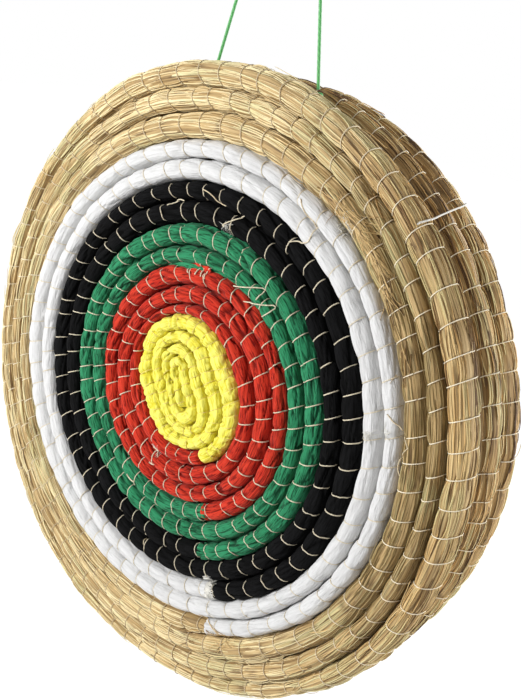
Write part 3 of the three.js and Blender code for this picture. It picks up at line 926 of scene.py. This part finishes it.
        # Painted shade: straws darken down in the furrows, and where marked dull
        furrow = self.furrow(place, *self.outline.at(share))
        shade = (FURROW_SHADE + STREAKED_FURROW_SHADE * streak) * furrow**1.2
        tone = tone * (1 - shade) * (1 - DULL_SHADE * wear_and_light["dull"])
        return {"tone": tone, "dull": wear_and_light["dull"], "warm": wear_and_light["warm"]}


def enclosed(points, quads):
    """Six times the volume inside a swept skin, negative where it is inside out."""
    flat = points.reshape(-1, 3)
    flat = flat - flat.mean(axis=0)
    corners = flat[quads.reshape(-1, 4)]
    first = np.cross(corners[:, 0], corners[:, 1])
    second = np.cross(corners[:, 0], corners[:, 2])
    return np.sum(first * corners[:, 2]) + np.sum(second * corners[:, 3])


def spot_point(turn, edge):
    """The yellow rope's boundary, round a straight middle that shortens."""
    half = np.floor(turn * 2 + SPOT_RUN_TURN)
    into = turn - half / 2 + SPOT_RUN_TURN / 2
    up = np.where(half % 2 == 0, 1, -1)
    slide = np.minimum(into / SPOT_RUN_TURN, 1) * 2 - 1
    bend = np.maximum(into - SPOT_RUN_TURN, 0) / (0.5 - SPOT_RUN_TURN) * math.pi
    run = BOSS_RADIUS * (SPOT_RUN_SHARE - SPOT_RUN_FALL_SHARE * turn**2)
    x = -up * edge * np.cos(bend)
    z = up * (run * slide + edge * np.sin(bend))
    x, z = (
        x * math.cos(SPOT_TILT) - z * math.sin(SPOT_TILT) + SPOT_CENTRE,
        x * math.sin(SPOT_TILT) + z * math.cos(SPOT_TILT) + SPOT_CENTRE,
    )
    roll = (0.5 - COLOUR_LINE) * 2 * math.pi
    x, z = x * math.cos(roll) - z * math.sin(roll), x * math.sin(roll) + z * math.cos(roll)
    return np.stack([x, np.full_like(x, FRONT_Y), z], axis=-1)


def spot_edge(turn):
    """How far the yellow rope's outer edge lies from its straight middle."""
    return BOSS_RADIUS * smooth_at(SPOT_EDGE_SHARES, turn * 2)


spot_turns = np.linspace(-SPOT_RUN_TURN / 2, SPOT_LAST_TURN, SPOT_STEPS)
spot_outer = spot_point(spot_turns, spot_edge(spot_turns))
joined = 1 - SPOT_RUN_TURN / 2
inner_share = np.maximum(spot_turns - SPOT_FIRST_WRAP, 0) / (joined - SPOT_FIRST_WRAP)
first_edge = spot_edge(-SPOT_RUN_TURN / 2) * inner_share
before = spot_turns - 1
spot_inner = np.where(
    (spot_turns < joined)[:, None],
    spot_point(spot_turns, first_edge),
    spot_point(before, spot_edge(before)),
)
outline_turns = np.unwrap(np.arctan2(spot_outer[:, 0], spot_outer[:, 2])) / (2 * math.pi)
outline_turns += round(COLOUR_LINE + YELLOW_END - outline_turns[-1]) - COLOUR_LINE
outline_radii = np.hypot(spot_outer[:, 0], spot_outer[:, 2])


def drift_at(shares, clock):
    """A table of twelve places round the rim, read on a smooth line."""
    closed = [shares[-1], *shares, *shares[:2]]
    return smooth_at(closed, np.asarray(clock) % 1 * 12 + 1)


def front_edge(turn):
    """Outer edge of the front rope, the yellow spot's before the first turn."""
    turn = np.asarray(turn, dtype=float)
    wound = BOSS_RADIUS * smooth_at(FRONT_EDGE_SHARES, turn * 4)
    drift = BOSS_RADIUS * drift_at(FRONT_RIM_DRIFT_SHARES, turn + COLOUR_LINE)
    wound = wound + drift * np.clip((turn - FRONT_DRIFT_FROM) / FRONT_DRIFT_RISE, 0, 1)
    spot = np.interp(turn, outline_turns, outline_radii)
    return np.where(turn < 0, spot, wound)


def straw_edge(zero):
    """Outer edge of the middle or back rope, from the start of its tail."""

    def edge(turn):
        turn = np.asarray(turn, dtype=float)
        drift = BOSS_RADIUS * drift_at(RIM_DRIFT_SHARES, turn + zero)
        drift *= np.clip((turn - RIM_DRIFT_FROM) / RIM_DRIFT_RISE, 0, 1)
        return OUTER_TURN_RADIUS + STRAW_PITCH * turn + drift

    return edge


def wind(start, end, zero, y, edge_of, tail, look, seed, seam, laps=(0, 0)):
    """A rope wound as a spiral, between the edges of the turn before it and its own."""
    lap_turns = [
        lap * LAP_LENGTH / (2 * math.pi * float(edge_of(place)))
        for lap, place in zip(laps, (start, end))
    ]
    start, end = start - lap_turns[0], end + lap_turns[1]
    turns = np.linspace(start, end, max(LEAST_STEPS, round((end - start) * STEPS_PER_TURN)))
    low = np.maximum(edge_of(turns - 1), ROPE_EYE) + TURN_GAP / 2
    high = edge_of(turns) - TURN_GAP / 2
    thinning = np.clip((turns - tail[0]) / (tail[1] - tail[0]), 0, 1) ** 2
    thinning *= 1 - TAIL_TIP_SHARE
    high = high - (high - low) * thinning
    depth = HALF_DEPTH * (1 - thinning / 2)
    inner, outer = on_clock(turns + zero, low, y), on_clock(turns + zero, high, y)
    rope = Rope(inner, outer, depth, look, seed, seam, laps)
    rope.turns = turns
    rope.covered_to = float(np.interp(end - 1, turns, rope.lengths))
    return rope


# A look's furrow sets how strongly painted shade darkens the furrows between turns and layers.
CLOTH_LOOK = {
    "fullness": 2.4, "cells": 19, "stitch_gap": 0.0158, "slant": 0.0021, "roundness": 0.42,
    "twist": 2.5, "fold_run": 0.7, "strand_length": 0.02, "squeeze": 0.0015, "fold": 0.0010,
    "crease": 0.0025, "strand": 0.0, "lump": 0.0004, "end_round": 0.0015, "rim_round": 0.0,
    "rim_side": 1, "full_width": 0.0065, "furrow": 0.7, "lump_length": 0.021,
}  # fmt: skip
BLACK_LOOK = CLOTH_LOOK | {"stitch_gap": 0.0188, "squeeze": 0.0019}
WHITE_LOOK = CLOTH_LOOK | {
    "stitch_gap": 0.0205, "cells": 15, "fold": 0.0007, "crease": 0.0006, "squeeze": 0.0012,
    "lump": 0.0006, "furrow": 0.3,
}  # fmt: skip
YELLOW_LOOK = CLOTH_LOOK | {
    "stitch_gap": 0.0098, "cells": 9, "slant": 0.001, "squeeze": 0.0011, "fold": 0.0013,
    "crease": 0.0016, "lump": 0.0009, "twist": 8.0, "fold_run": 1.3, "fullness": 3.0,
    "end_round": 0.005, "full_width": 0.0035, "lump_length": 0.0075, "furrow": 0.8,
}  # fmt: skip
STRAW_LOOK = CLOTH_LOOK | {
    "fullness": 2.1, "cells": 11, "stitch_gap": 0.0205, "slant": 0.0026, "roundness": 0.36,
    "twist": 0.5, "fold_run": 0.6, "strand_length": 0.06, "squeeze": 0.0009, "fold": 0.0003,
    "crease": 0.0, "strand": 0.0016, "lump": 0.0009, "end_round": 0.006, "rim_round": 0.011,
}  # fmt: skip

# Cloths: their colour, a darker shade colour painted along the creases and in random patches, and
# the crease colour of the painted shade in creases and hollows
YELLOW = cloth_finish(
    "yellow_cloth", (0.95, 0.91, 0.18), (0.90, 0.81, 0.07), (0.68, 0.58, 0.02), 0.05, 0.6
)
RED = cloth_finish("red_cloth", (0.65, 0.043, 0.018), (0.46, 0.013, 0.006), (0.12, 0.001, 0.0))
GREEN = cloth_finish(
    "green_cloth", (0.031, 0.27, 0.12), (0.012, 0.16, 0.062), (0.002, 0.030, 0.011)
)
BLACK = cloth_finish(
    "black_cloth", (0.0065, 0.0065, 0.007), (0.0025, 0.0025, 0.0025), (0.001, 0.001, 0.001), 0.0,
    0.25, 0.08,
)  # fmt: skip
WHITE = cloth_finish(
    "white_cloth", (0.75, 0.748, 0.745), (0.735, 0.731, 0.725), (0.66, 0.655, 0.65), 0.05, 0.15
)
# Straw skins: pale, gold and brown, the brown also painted shade in the hollows, and how green
FRONT_STRAW = straw_finish(
    "front_straw", (0.72, 0.53, 0.26), (0.44, 0.29, 0.12), (0.10, 0.055, 0.018), 0.3
)
RIM_STRAW = straw_finish(
    "rim_straw", (0.70, 0.49, 0.22), (0.40, 0.24, 0.085), (0.05, 0.025, 0.008), 0.25
)
FRONT_BLADES = loose_straw_finish("front_straws", PALE, GOLD, BROWN, SAGE)
RIM_BLADES = loose_straw_finish(
    "rim_straws", (1.0, 0.88, 0.58), (0.84, 0.60, 0.27), (0.10, 0.05, 0.013), SAGE
)
BROKEN_BLADES = loose_straw_finish(
    "broken_straws", (0.64, 0.44, 0.19), (0.36, 0.21, 0.07), (0.07, 0.034, 0.01), GOLD, 0.05
)

# Angles round a rope: 0 towards the next turn, -90 degrees towards the front. A seam is where
# its skin closes, out of sight.
FRONT_SEAM = math.pi / 2
BACK_SEAM = -math.pi / 2
INNER_SEAM = math.pi
FACE_SIDE = (math.radians(-165), math.radians(-15))
TWINE_SIDE = (math.radians(-158), math.radians(-22))
FRONT_SIDE = (math.radians(-165), math.radians(60))
RIM_SIDE = (math.radians(-75), math.radians(75))
BACK_SIDE = (math.radians(-60), math.radians(165))
STRAW_TWINE_LIFT = 0.0005


def cover(rope, name, node, slot, finish, ring_step, shares):
    """A rope's skin, in the place of its solid."""
    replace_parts(rope.build(name, ring_step, shares, finish, slot), node)


# Front layer
yellow_rope = Rope(spot_inner, spot_outer, HALF_DEPTH, YELLOW_LOOK, 11, FRONT_SEAM)
shares = yellow_rope.share_spread(8, 32, *FACE_SIDE)
cover(yellow_rope, "yellow_rope", "yellow_centre_coil", "yellow_cloth", YELLOW, 0.001, shares)
yellow_rope.sew("yellow_stitches", *TWINE_SIDE, PEACH_TWINE, 0.0, 8, 0.6)

# Tint, turns, look, finish, seed, twine and its thickness, laps at its ends
CLOTH_ROPES = [
    ("red", YELLOW_END, RED_END, CLOTH_LOOK, RED, 20, CREAM_TWINE, 0.95, (0, 0)),
    ("green", RED_END, GREEN_END, CLOTH_LOOK, GREEN, 27, CREAM_TWINE, 0.95, (1, 0)),
    ("black", GREEN_END, BLACK_END, BLACK_LOOK, BLACK, 34, CREAM_TWINE, 0.95, (1, 1)),
    ("white", BLACK_END, WHITE_END, WHITE_LOOK, WHITE, 41, TAN_TWINE, 0.8, (0, 0)),
]
for tint, start, end, look, finish, seed, twine, thickness, laps in CLOTH_ROPES:
    rope = wind(
        start, end, COLOUR_LINE, FRONT_Y, front_edge, NO_TAIL, look, seed, FRONT_SEAM, laps
    )
    shares = rope.share_spread(8, 34, *FACE_SIDE)
    cover(rope, f"{tint}_rope", f"{tint}_coil", f"{tint}_cloth", finish, 0.0015, shares)
    rope.sew(f"{tint}_stitches", *TWINE_SIDE, twine, 0.0, 8, thickness)

front_straw = wind(
    WHITE_END, FRONT_TAIL_END, COLOUR_LINE, FRONT_Y, front_edge,
    (FRONT_TAIL_START, FRONT_TAIL_END), STRAW_LOOK, 61, FRONT_SEAM, (1, 0),
)  # fmt: skip


# Sides of the face, in degrees from the top, where the straw is darker, partly as painted shade,
# and streaked, and the twine painted paler as painted light; and where its inner turns end
RIGHT_SIDE = (15, 140)
LEFT_SIDE = (215, 310)
SIDE_RISE, SIDE_FALL = 25, 30
INNER_TURNS_TO = 11.3
LEFT_STREAK = 0.15


def within(clock, low, high):
    """1 between two places on the clock, with soft ends."""
    return np.clip((clock - low) / SIDE_RISE, 0, 1) * np.clip((high - clock) / SIDE_FALL, 0, 1)


def side_wear_and_light(place):
    """Straw at the right: duller and darker, partly as painted shade, warmer and more streaked; and
    twine painted paler at both sides, as painted light.
    """
    turns = np.interp(place, front_straw.lengths, front_straw.turns)
    clock = (turns + COLOUR_LINE) % 1 * 360
    right, left = within(clock, *RIGHT_SIDE), within(clock, *LEFT_SIDE)
    inner = np.clip((INNER_TURNS_TO - turns) / 0.6, 0, 1)
    return {
        "dull": right * (0.15 + 0.42 * inner),
        "streak": np.maximum(right, left * LEFT_STREAK),
        "warm": right * (1 - inner),
        "fresh": np.maximum(right, left),
    }


front_straw.wear_and_light = side_wear_and_light
shares = front_straw.share_spread(5, 26, *FRONT_SIDE)
cover(
    front_straw, "front_straw_rope", "straw_front_coil", "front_straw", FRONT_STRAW, 0.0035, shares
)
for part, seed in (("under", 62), ("middle", 64), ("upper", 63)):
    front_straw.thatch(
        f"front_straws_{part}", seed, 1580, FRONT_SIDE[0], math.radians(62),
        FRONT_BLADES, "front_straw",
    )  # fmt: skip
front_straw.sew(
    "front_straw_stitches", TWINE_SIDE[0], math.radians(40), DULL_TWINE, STRAW_TWINE_LIFT, 10, 0.75
)

# Middle layer
tail = (0, TAIL_TURNS)
middle_edge = straw_edge(MIDDLE_TAIL)
middle_look = STRAW_LOOK | {"fullness": 2.0, "rim_side": 0}
middle_rope = wind(
    -1, TAIL_TURNS, MIDDLE_TAIL, MIDDLE_Y, middle_edge, tail, middle_look, 71, INNER_SEAM
)
shares = middle_rope.share_spread(8, 16, *RIM_SIDE)
cover(
    middle_rope, "middle_straw_rope", "middle_outer_coil", "middle_straw", RIM_STRAW, 0.0035, shares
)
middle_rope.thatch("middle_straws", 72, 1000, *RIM_SIDE, RIM_BLADES, "middle_straw", 1.2)
middle_rope.sew(
    "middle_straw_stitches", math.radians(-66), math.radians(66), DULL_TWINE, STRAW_TWINE_LIFT, 8,
    0.7,
)  # fmt: skip

# Its inner turns, which the other layers hide
INNER_FROM, INNER_TO = -13.2, -1.001
INNER_SIDES = 14
inner_look = STRAW_LOOK | {"strand": 0.0003, "lump": 0.0002, "squeeze": 0.0004}
middle_inner = wind(
    INNER_FROM, INNER_TO, MIDDLE_TAIL, MIDDLE_Y, middle_edge, NO_TAIL, inner_look, 73, INNER_SEAM
)
shares = np.linspace(0, 1, INNER_SIDES, endpoint=False)
cover(
    middle_inner, "middle_inner_turns", "middle_core", "middle_straw_core", RIM_STRAW, 0.011, shares
)

# Back layer
BACK_FROM = -13.4
back_rope = wind(
    BACK_FROM, TAIL_TURNS, BACK_TAIL, BACK_Y, straw_edge(BACK_TAIL), tail,
    STRAW_LOOK | {"rim_side": -1}, 81, BACK_SEAM,
)  # fmt: skip
shares = back_rope.share_spread(5, 20, *BACK_SIDE)
cover(back_rope, "back_straw_rope", "back_coil", "back_straw", RIM_STRAW, 0.0048, shares)
last_turn = float(np.interp(TAIL_TURNS - 1.35, back_rope.turns, back_rope.lengths))
back_rope.thatch("back_straws", 82, 1580, *BACK_SIDE, RIM_BLADES, "back_straw", 1.7)
back_rope.thatch(
    "back_rim_straws", 83, 520, BACK_SIDE[0], RIM_SIDE[1], RIM_BLADES, "back_straw", 1.4, last_turn
)
back_rope.thatch(
    "back_upper_straws", 84, 620, math.radians(60), BACK_SIDE[1], RIM_BLADES, "back_straw", 1.7
)
back_rope.sew(
    "back_straw_stitches", math.radians(-55), math.radians(158), DULL_TWINE, STRAW_TWINE_LIFT, 10,
    0.7,
)  # fmt: skip


# Loose twine, frayed cloth and stray straws, laid on the ropes as they are
class Surface:
    """The ropes' finished skins, to lay loose ends on."""

    def __init__(self, names):
        corners, faces = [], []
        for name in names:
            mesh = bpy.data.objects[name].data
            first = len(corners)
            corners += [tuple(vertex.co) for vertex in mesh.vertices]
            faces += [[first + corner for corner in face.vertices] for face in mesh.polygons]
        self.tree = BVHTree.FromPolygons(corners, faces)

    def reach(self, points, ahead):
        """How far the skin lies from points, in their directions."""
        shape = points.shape
        flat, ahead = points.reshape(-1, 3), np.broadcast_to(ahead, shape).reshape(-1, 3)
        reach = np.full(len(flat), np.nan)
        for number, (point, way) in enumerate(zip(flat, ahead)):
            found = self.tree.ray_cast(Vector(point), Vector(way))
            if found[0] is not None:
                reach[number] = found[3]
        reach = reach.reshape(shape[:-1])
        return np.where(np.isnan(reach), np.nanmean(reach), reach)


face_skin = Surface(
    ["yellow_rope", "red_rope", "green_rope", "black_rope", "white_rope", "front_straw_rope"]
)
rim_skin = Surface(["front_straw_rope", "middle_straw_rope", "back_straw_rope"])

FACE_AHEAD = np.array([0.0, math.cos(BOSS_LEAN), math.sin(BOSS_LEAN)])
BEFORE_FACE = -0.08
LOOSE_TWINE_STEPS = 26
SUNK_TWINE, SUNK_FIBRE = 0.8, 0.6
FIBRE_RINGS = 6
FIBRE_THICKNESS = (0.6, 1.1)
PATCH_STEPS = 40
PATCH_EASE = 8


def on_face(clock_and_radius, steps):
    """A smooth line in front of the face through places given in degrees and millimetres."""
    table = np.array(clock_and_radius, dtype=float)
    points = from_boss(on_clock(table[:, 0] / 360, table[:, 1] / 1000, BEFORE_FACE))
    return smooth_path(points, steps)


def lay_twine(name, lines, radius, finish):
    """Loose twine that bridges the furrows it crosses."""
    paths = np.stack([on_face(line, LOOSE_TWINE_STEPS) for line in lines])
    reach = face_skin.reach(paths, FACE_AHEAD)
    held = reach.copy()
    for shift in (1, 2):
        held = np.minimum(held, np.pad(reach, ((0, 0), (shift, 0)), "edge")[:, :-shift])
        held = np.minimum(held, np.pad(reach, ((0, 0), (0, shift)), "edge")[:, shift:])
    paths = paths + FACE_AHEAD * (held - radius * SUNK_TWINE)[..., None]
    normals = np.broadcast_to(-FACE_AHEAD, paths.shape)
    points, faces, uv = tube_mesh(paths, normals, radius, 6)
    return make_piece(name, points, faces, finish, "boss", uv)


def scatter(name, spots, finish, seed, radius, length, rise, curl=0.3):
    """Stray fibres round a few spots of the face, of a least and greatest length and rise."""
    chance = np.random.RandomState(seed)
    roots, ways = [], []
    for clock, distance, spread, lean, fan, count in spots:
        away = chance.normal(0, spread / 1000, (count, 2))
        angle = math.radians(clock)
        across = np.array([math.sin(angle), math.cos(angle)])
        along = np.array([math.cos(angle), -math.sin(angle)])
        roots.append(across * (distance / 1000) + away)
        turn = np.radians(chance.normal(lean, fan, count))[:, None]
        ways.append(along * np.cos(turn) + across * np.sin(turn))
    roots, ways = np.concatenate(roots), np.concatenate(ways)
    count = len(roots)
    reach = chance.uniform(*length, (count, 1))
    t = np.linspace(0, 1, FIBRE_RINGS)
    bend = chance.normal(0, curl, (count, 1)) * t
    cosine, sine = np.cos(bend), np.sin(bend)
    x = roots[:, :1] + reach * t * (ways[:, :1] * cosine - ways[:, 1:] * sine)
    z = roots[:, 1:] + reach * t * (ways[:, :1] * sine + ways[:, 1:] * cosine)
    points = from_boss(np.stack([x, np.full_like(x, BEFORE_FACE), z], axis=-1))
    lift = chance.uniform(*rise, (count, 1)) * t**2
    above = face_skin.reach(points, FACE_AHEAD) - (lift + radius * SUNK_FIBRE)
    paths = points + FACE_AHEAD * above[..., None]
    thick = radius * chance.uniform(*FIBRE_THICKNESS, (count, 1)) * (1 - 0.6 * t**3)
    normals = np.broadcast_to(-FACE_AHEAD, paths.shape)
    points, faces, uv = tube_mesh(paths, normals, thick, 4)
    tone = np.broadcast_to(chance.beta(2, 2, (count, 1, 1)), points.shape[:3])
    return make_piece(name, points, faces, finish, "boss", uv, {"tone": tone})


def lay_patch(name, line, half_width, thick, finish, lift):
    """A flat strip of cloth pressed on to the ropes, thinning to both ends."""
    path = on_face(line, PATCH_STEPS)[None]
    reach = face_skin.reach(path, FACE_AHEAD)
    around = np.ones(PATCH_EASE * 2 + 1)
    smooth = np.convolve(np.pad(reach[0], PATCH_EASE, "edge"), around / around.size, "valid")
    path = path + FACE_AHEAD * (smooth - lift)[None, :, None]
    t = np.linspace(0, 1, PATCH_STEPS + 1)
    taper = np.sin(math.pi * (t * 0.94 + 0.03)) ** 0.3
    normals = np.broadcast_to(-FACE_AHEAD, path.shape)
    points, faces, uv = tube_mesh(path, normals, thick * taper[None], 14, half_width / thick)
    return make_piece(name, points, faces, finish, "boss", uv)


# Middle lines on the face: degrees clockwise from the top, and millimetres from the middle
GREEN_STRIP = [
    (335.5, 101), (343.6, 101), (350, 100.2), (356.8, 100.2), (362.7, 101.7), (367.2, 103.5),
    (372, 105),
]  # fmt: skip
RED_LAP = [
    (348.5, 101.6), (351.6, 101.4), (355.3, 101.3), (359.0, 101.4), (362.1, 101.4), (364.5, 101),
]  # fmt: skip
lay_patch("green_strip", GREEN_STRIP, 0.0030, 0.0014, GREEN, 0.0002)
lay_patch("red_lap", RED_LAP, 0.0044, 0.0014, RED, 0.0008)

BRIGHT_ENDS = [
    [(18.2, 104.2), (23.7, 111.6), (28.2, 119.5), (30.2, 121.8), (31.0, 119.4), (31.3, 113.5)],
    [(26.5, 101.6), (30.3, 107.4), (34.9, 116.4), (37.5, 122.4), (38.4, 118.7), (37.8, 109.9)],
    [(340.6, 147.8), (343.9, 150.5), (345.7, 151.7), (347.4, 150.7)],
    [(11.2, 155.2), (9.2, 150.3), (6.9, 145.3), (5.2, 141.2), (6.0, 140.8)],
    [(27.3, 164.0), (28.6, 168.5), (30.4, 172.2), (31.4, 176.5), (31.2, 181.1), (30.3, 187.6)],
    [(188.6, 67.1), (194.4, 59.9), (188.6, 60.7)],
    [(203.5, 74.3), (199.4, 78.5), (194.9, 78.6), (188.1, 73.9)],
    [(202.0, 103.0), (199.1, 103.9), (196.8, 103.5)],
    [(358.5, 105.6), (358.1, 101.8), (357.2, 96.4)], [(360.2, 102.6), (360.1, 99.5), (360.6, 96.2)],
    [(363.1, 104.4), (362.7, 100.4), (363.1, 95.8)], [(351.2, 102.0), (351.4, 98.7), (352.2, 95.8)],
]  # fmt: skip
DULL_ENDS = [
    [(355.4, 161.6), (357.5, 160.7), (359.8, 158.5), (361.7, 155.7), (364.3, 155.2)],
    [(30.3, 187.6), (29.4, 189.4), (27.1, 189.0), (25.0, 191.3), (23.8, 194.2)],
    [(72.2, 195.6), (73.6, 200.2), (74.9, 205.6), (76.6, 208.9), (78.0, 211.5)],
    [(77.9, 212.3), (79.2, 208.2), (81.3, 205.3), (82.7, 205.3), (83.7, 207.5)],
    [(183.3, 145.5), (182.4, 149.2)],
]  # fmt: skip
lay_twine("loose_bright_ends", BRIGHT_ENDS, 0.0005, CREAM_TWINE)
lay_twine("loose_dull_ends", DULL_ENDS, 0.00042, DULL_TWINE)

# Spots of fibres: degrees from the top, millimetres from the middle, their spread in
# millimetres, the lean of their run from the rope's and its spread in degrees, and their count
CLOTH_FRAYS = [
    (155.4, 186, 1.2, 175, 40, 10), (155.4, 202, 1.5, 175, 50, 14), (33.8, 206, 3.0, 60, 70, 46),
    (77, 180, 1.5, 20, 60, 24), (76, 192, 1.5, 90, 60, 14), (6, 141.5, 0.8, 0, 80, 14),
    (190, 61, 0.8, 0, 80, 12),
]  # fmt: skip
scatter(
    "cloth_frays", CLOTH_FRAYS, WHITE_TWINE, 301, 0.00024,
    (0.003, 0.009), (0.0002, 0.0022),
)  # fmt: skip
WHITE_START_FRAYS = [
    (155.2, 156.0, 0.9, 176, 13, 60), (154.9, 160.5, 1.2, 178, 12, 80),
    (154.9, 165.0, 1.2, 178, 12, 80), (155.1, 170.0, 1.2, 180, 12, 70),
]  # fmt: skip
scatter(
    "white_start_frays", WHITE_START_FRAYS, WHITE_TWINE, 304, 0.00030,
    (0.003, 0.0075), (0.0001, 0.0007), 0.12,
)  # fmt: skip
STRAW_FRAYS = [
    (clock, radius, 2.6, 2, 9, 15)
    for clock, radius in ((27, 212), (32, 213), (36, 213), (40, 214), (44, 214), (48, 213))
] + [(34, 231, 4, 5, 10, 8), (60, 213, 4, 0, 9, 8), (150, 207, 4, 0, 18, 14),
     (160, 208, 4, 0, 12, 10), (118, 229, 4, 0, 10, 10), (300, 236, 3, 0, 8, 8),
     (318, 234, 3, 0, 10, 10), (130, 238, 3, 0, 10, 12)]  # fmt: skip
scatter(
    "broken_straws", STRAW_FRAYS, BROKEN_BLADES, 302, 0.00055,
    (0.012, 0.030), (0.0002, 0.0010), 0.08,
)  # fmt: skip
CROSSING_STRAWS = [(30, 214, 3, -8, 22, 9), (36, 215, 3, 12, 26, 12), (42, 215, 3, 5, 22, 10),
                   (47, 213, 3, -6, 24, 8)]  # fmt: skip
scatter(
    "crossing_straws", CROSSING_STRAWS, BROKEN_BLADES, 303, 0.00042,
    (0.010, 0.022), (0.0005, 0.0020), 0.12,
)  # fmt: skip

# The white tie drawn over the three layers at the rim: degrees from the top, and millimetres
# behind the middle layer's middle
TIE_LINE = [
    (42.45, -42), (42.45, -38), (42.4, -33), (42.28, -28), (41.72, -16), (41.22, -4), (40.67, 8),
    (40.15, 20), (39.52, 32), (38.98, 39),
]  # fmt: skip
TIE_RINGS = 60
TIE_PASSES = 400
TIE_RADIUS = 0.00065
TIE_LIFT = 0.0019
TIE_END_DIPS = (0.002, 0.003)
BEYOND_RIM = 0.30


def draw_tie():
    """A taut line over the rims, each point lifted until it clears them."""
    table = np.array(TIE_LINE, dtype=float)
    fine = np.linspace(0, len(table) - 1, TIE_RINGS)
    turns, depths = smooth_at(table[:, 0], fine) / 360, smooth_at(table[:, 1], fine) / 1000
    outwards = from_boss(on_clock(turns, 1.0)) - from_boss(np.zeros(3))
    reach = rim_skin.reach(from_boss(on_clock(turns, BEYOND_RIM, depths)), -outwards)
    radii = BEYOND_RIM - reach + TIE_LIFT
    taut = radii.copy()
    for _ in range(TIE_PASSES):
        taut[1:-1] = np.maximum(radii[1:-1], (taut[:-2] + taut[2:]) / 2)
    taut[[0, -1]] -= TIE_END_DIPS
    path = from_boss(on_clock(turns, taut, depths))
    points, faces, uv = tube_mesh(path[None], outwards[None], TIE_RADIUS, 8)
    return make_piece("rim_twine_tie", points, faces, WHITE_TWINE, "boss", uv)


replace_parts(draw_tie(), "rim_tie")


# Floor, backdrop and light
FLOOR_Z = -0.95
FLOOR_GLOW = 1.12
GLOW_SHARE = 0.85
WORLD_LEVEL = 0.32
LAMPS_AIM = (0.0, 0.0, -0.34)

# Lamps: name, place, width and power
LAMPS = [
    ("key", (-0.6, -1.15, 0.1), 0.5, 18.5),
    ("side", (1.7, 0.75, -0.1), 0.5, 21),
    ("back", (0.3, 1.9, 0.3), 1.2, 20),
]


def place_floor():
    """A pale floor that keeps the boss's shadow, and that the camera sees nearly white."""
    bpy.ops.mesh.primitive_plane_add(size=12, location=(0, 0, FLOOR_Z))
    floor = bpy.context.object
    floor.name = "studio_floor"
    finish = Finish("studio_floor", roughness=0.9)
    finish.shader.inputs["Base Color"].default_value = (1, 1, 1, 1)
    glow = finish.node("ShaderNodeEmission", inputs={"Strength": FLOOR_GLOW})
    plain = Field(finish, finish.shader.outputs[0])
    inputs = {0: finish.backdrop() * GLOW_SHARE, 1: plain, 2: glow}
    blend = finish.node("ShaderNodeMixShader", inputs=inputs)
    surface = finish.tree.nodes["Material Output"].inputs["Surface"]
    finish.tree.links.new(blend.socket, surface)
    floor.data.materials.append(finish.material)


def place_lamp(name, place, width, power):
    """A soft lamp that faces the boss."""
    lamp = bpy.data.lights.new(name, "AREA")
    lamp.size = width
    lamp.energy = power
    holder = bpy.data.objects.new(name, lamp)
    holder.location = place
    bpy.context.collection.objects.link(holder)
    x, y, z = np.array(LAMPS_AIM) - np.array(place)
    holder.rotation_euler = (math.atan2(math.hypot(x, y), -z), 0, math.atan2(-x, y))


def light_world():
    """A world that the camera sees white, and that lights the boss less."""
    world = bpy.data.worlds.new("studio")
    bpy.context.scene.world = world
    world.use_nodes = True
    studio = Nodes(world.node_tree)
    sky = studio.tree.nodes["Background"]
    sky.inputs["Color"].default_value = (1, 1, 1, 1)
    level = studio.node("ShaderNodeMix", inputs={0: studio.backdrop(), 2: WORLD_LEVEL, 3: 1.0})
    studio.tree.links.new(level.socket, sky.inputs["Strength"])


place_floor()
light_world()
for lamp in LAMPS:
    place_lamp(*lamp)

scene = bpy.context.scene
scene.view_settings.view_transform = "Standard"
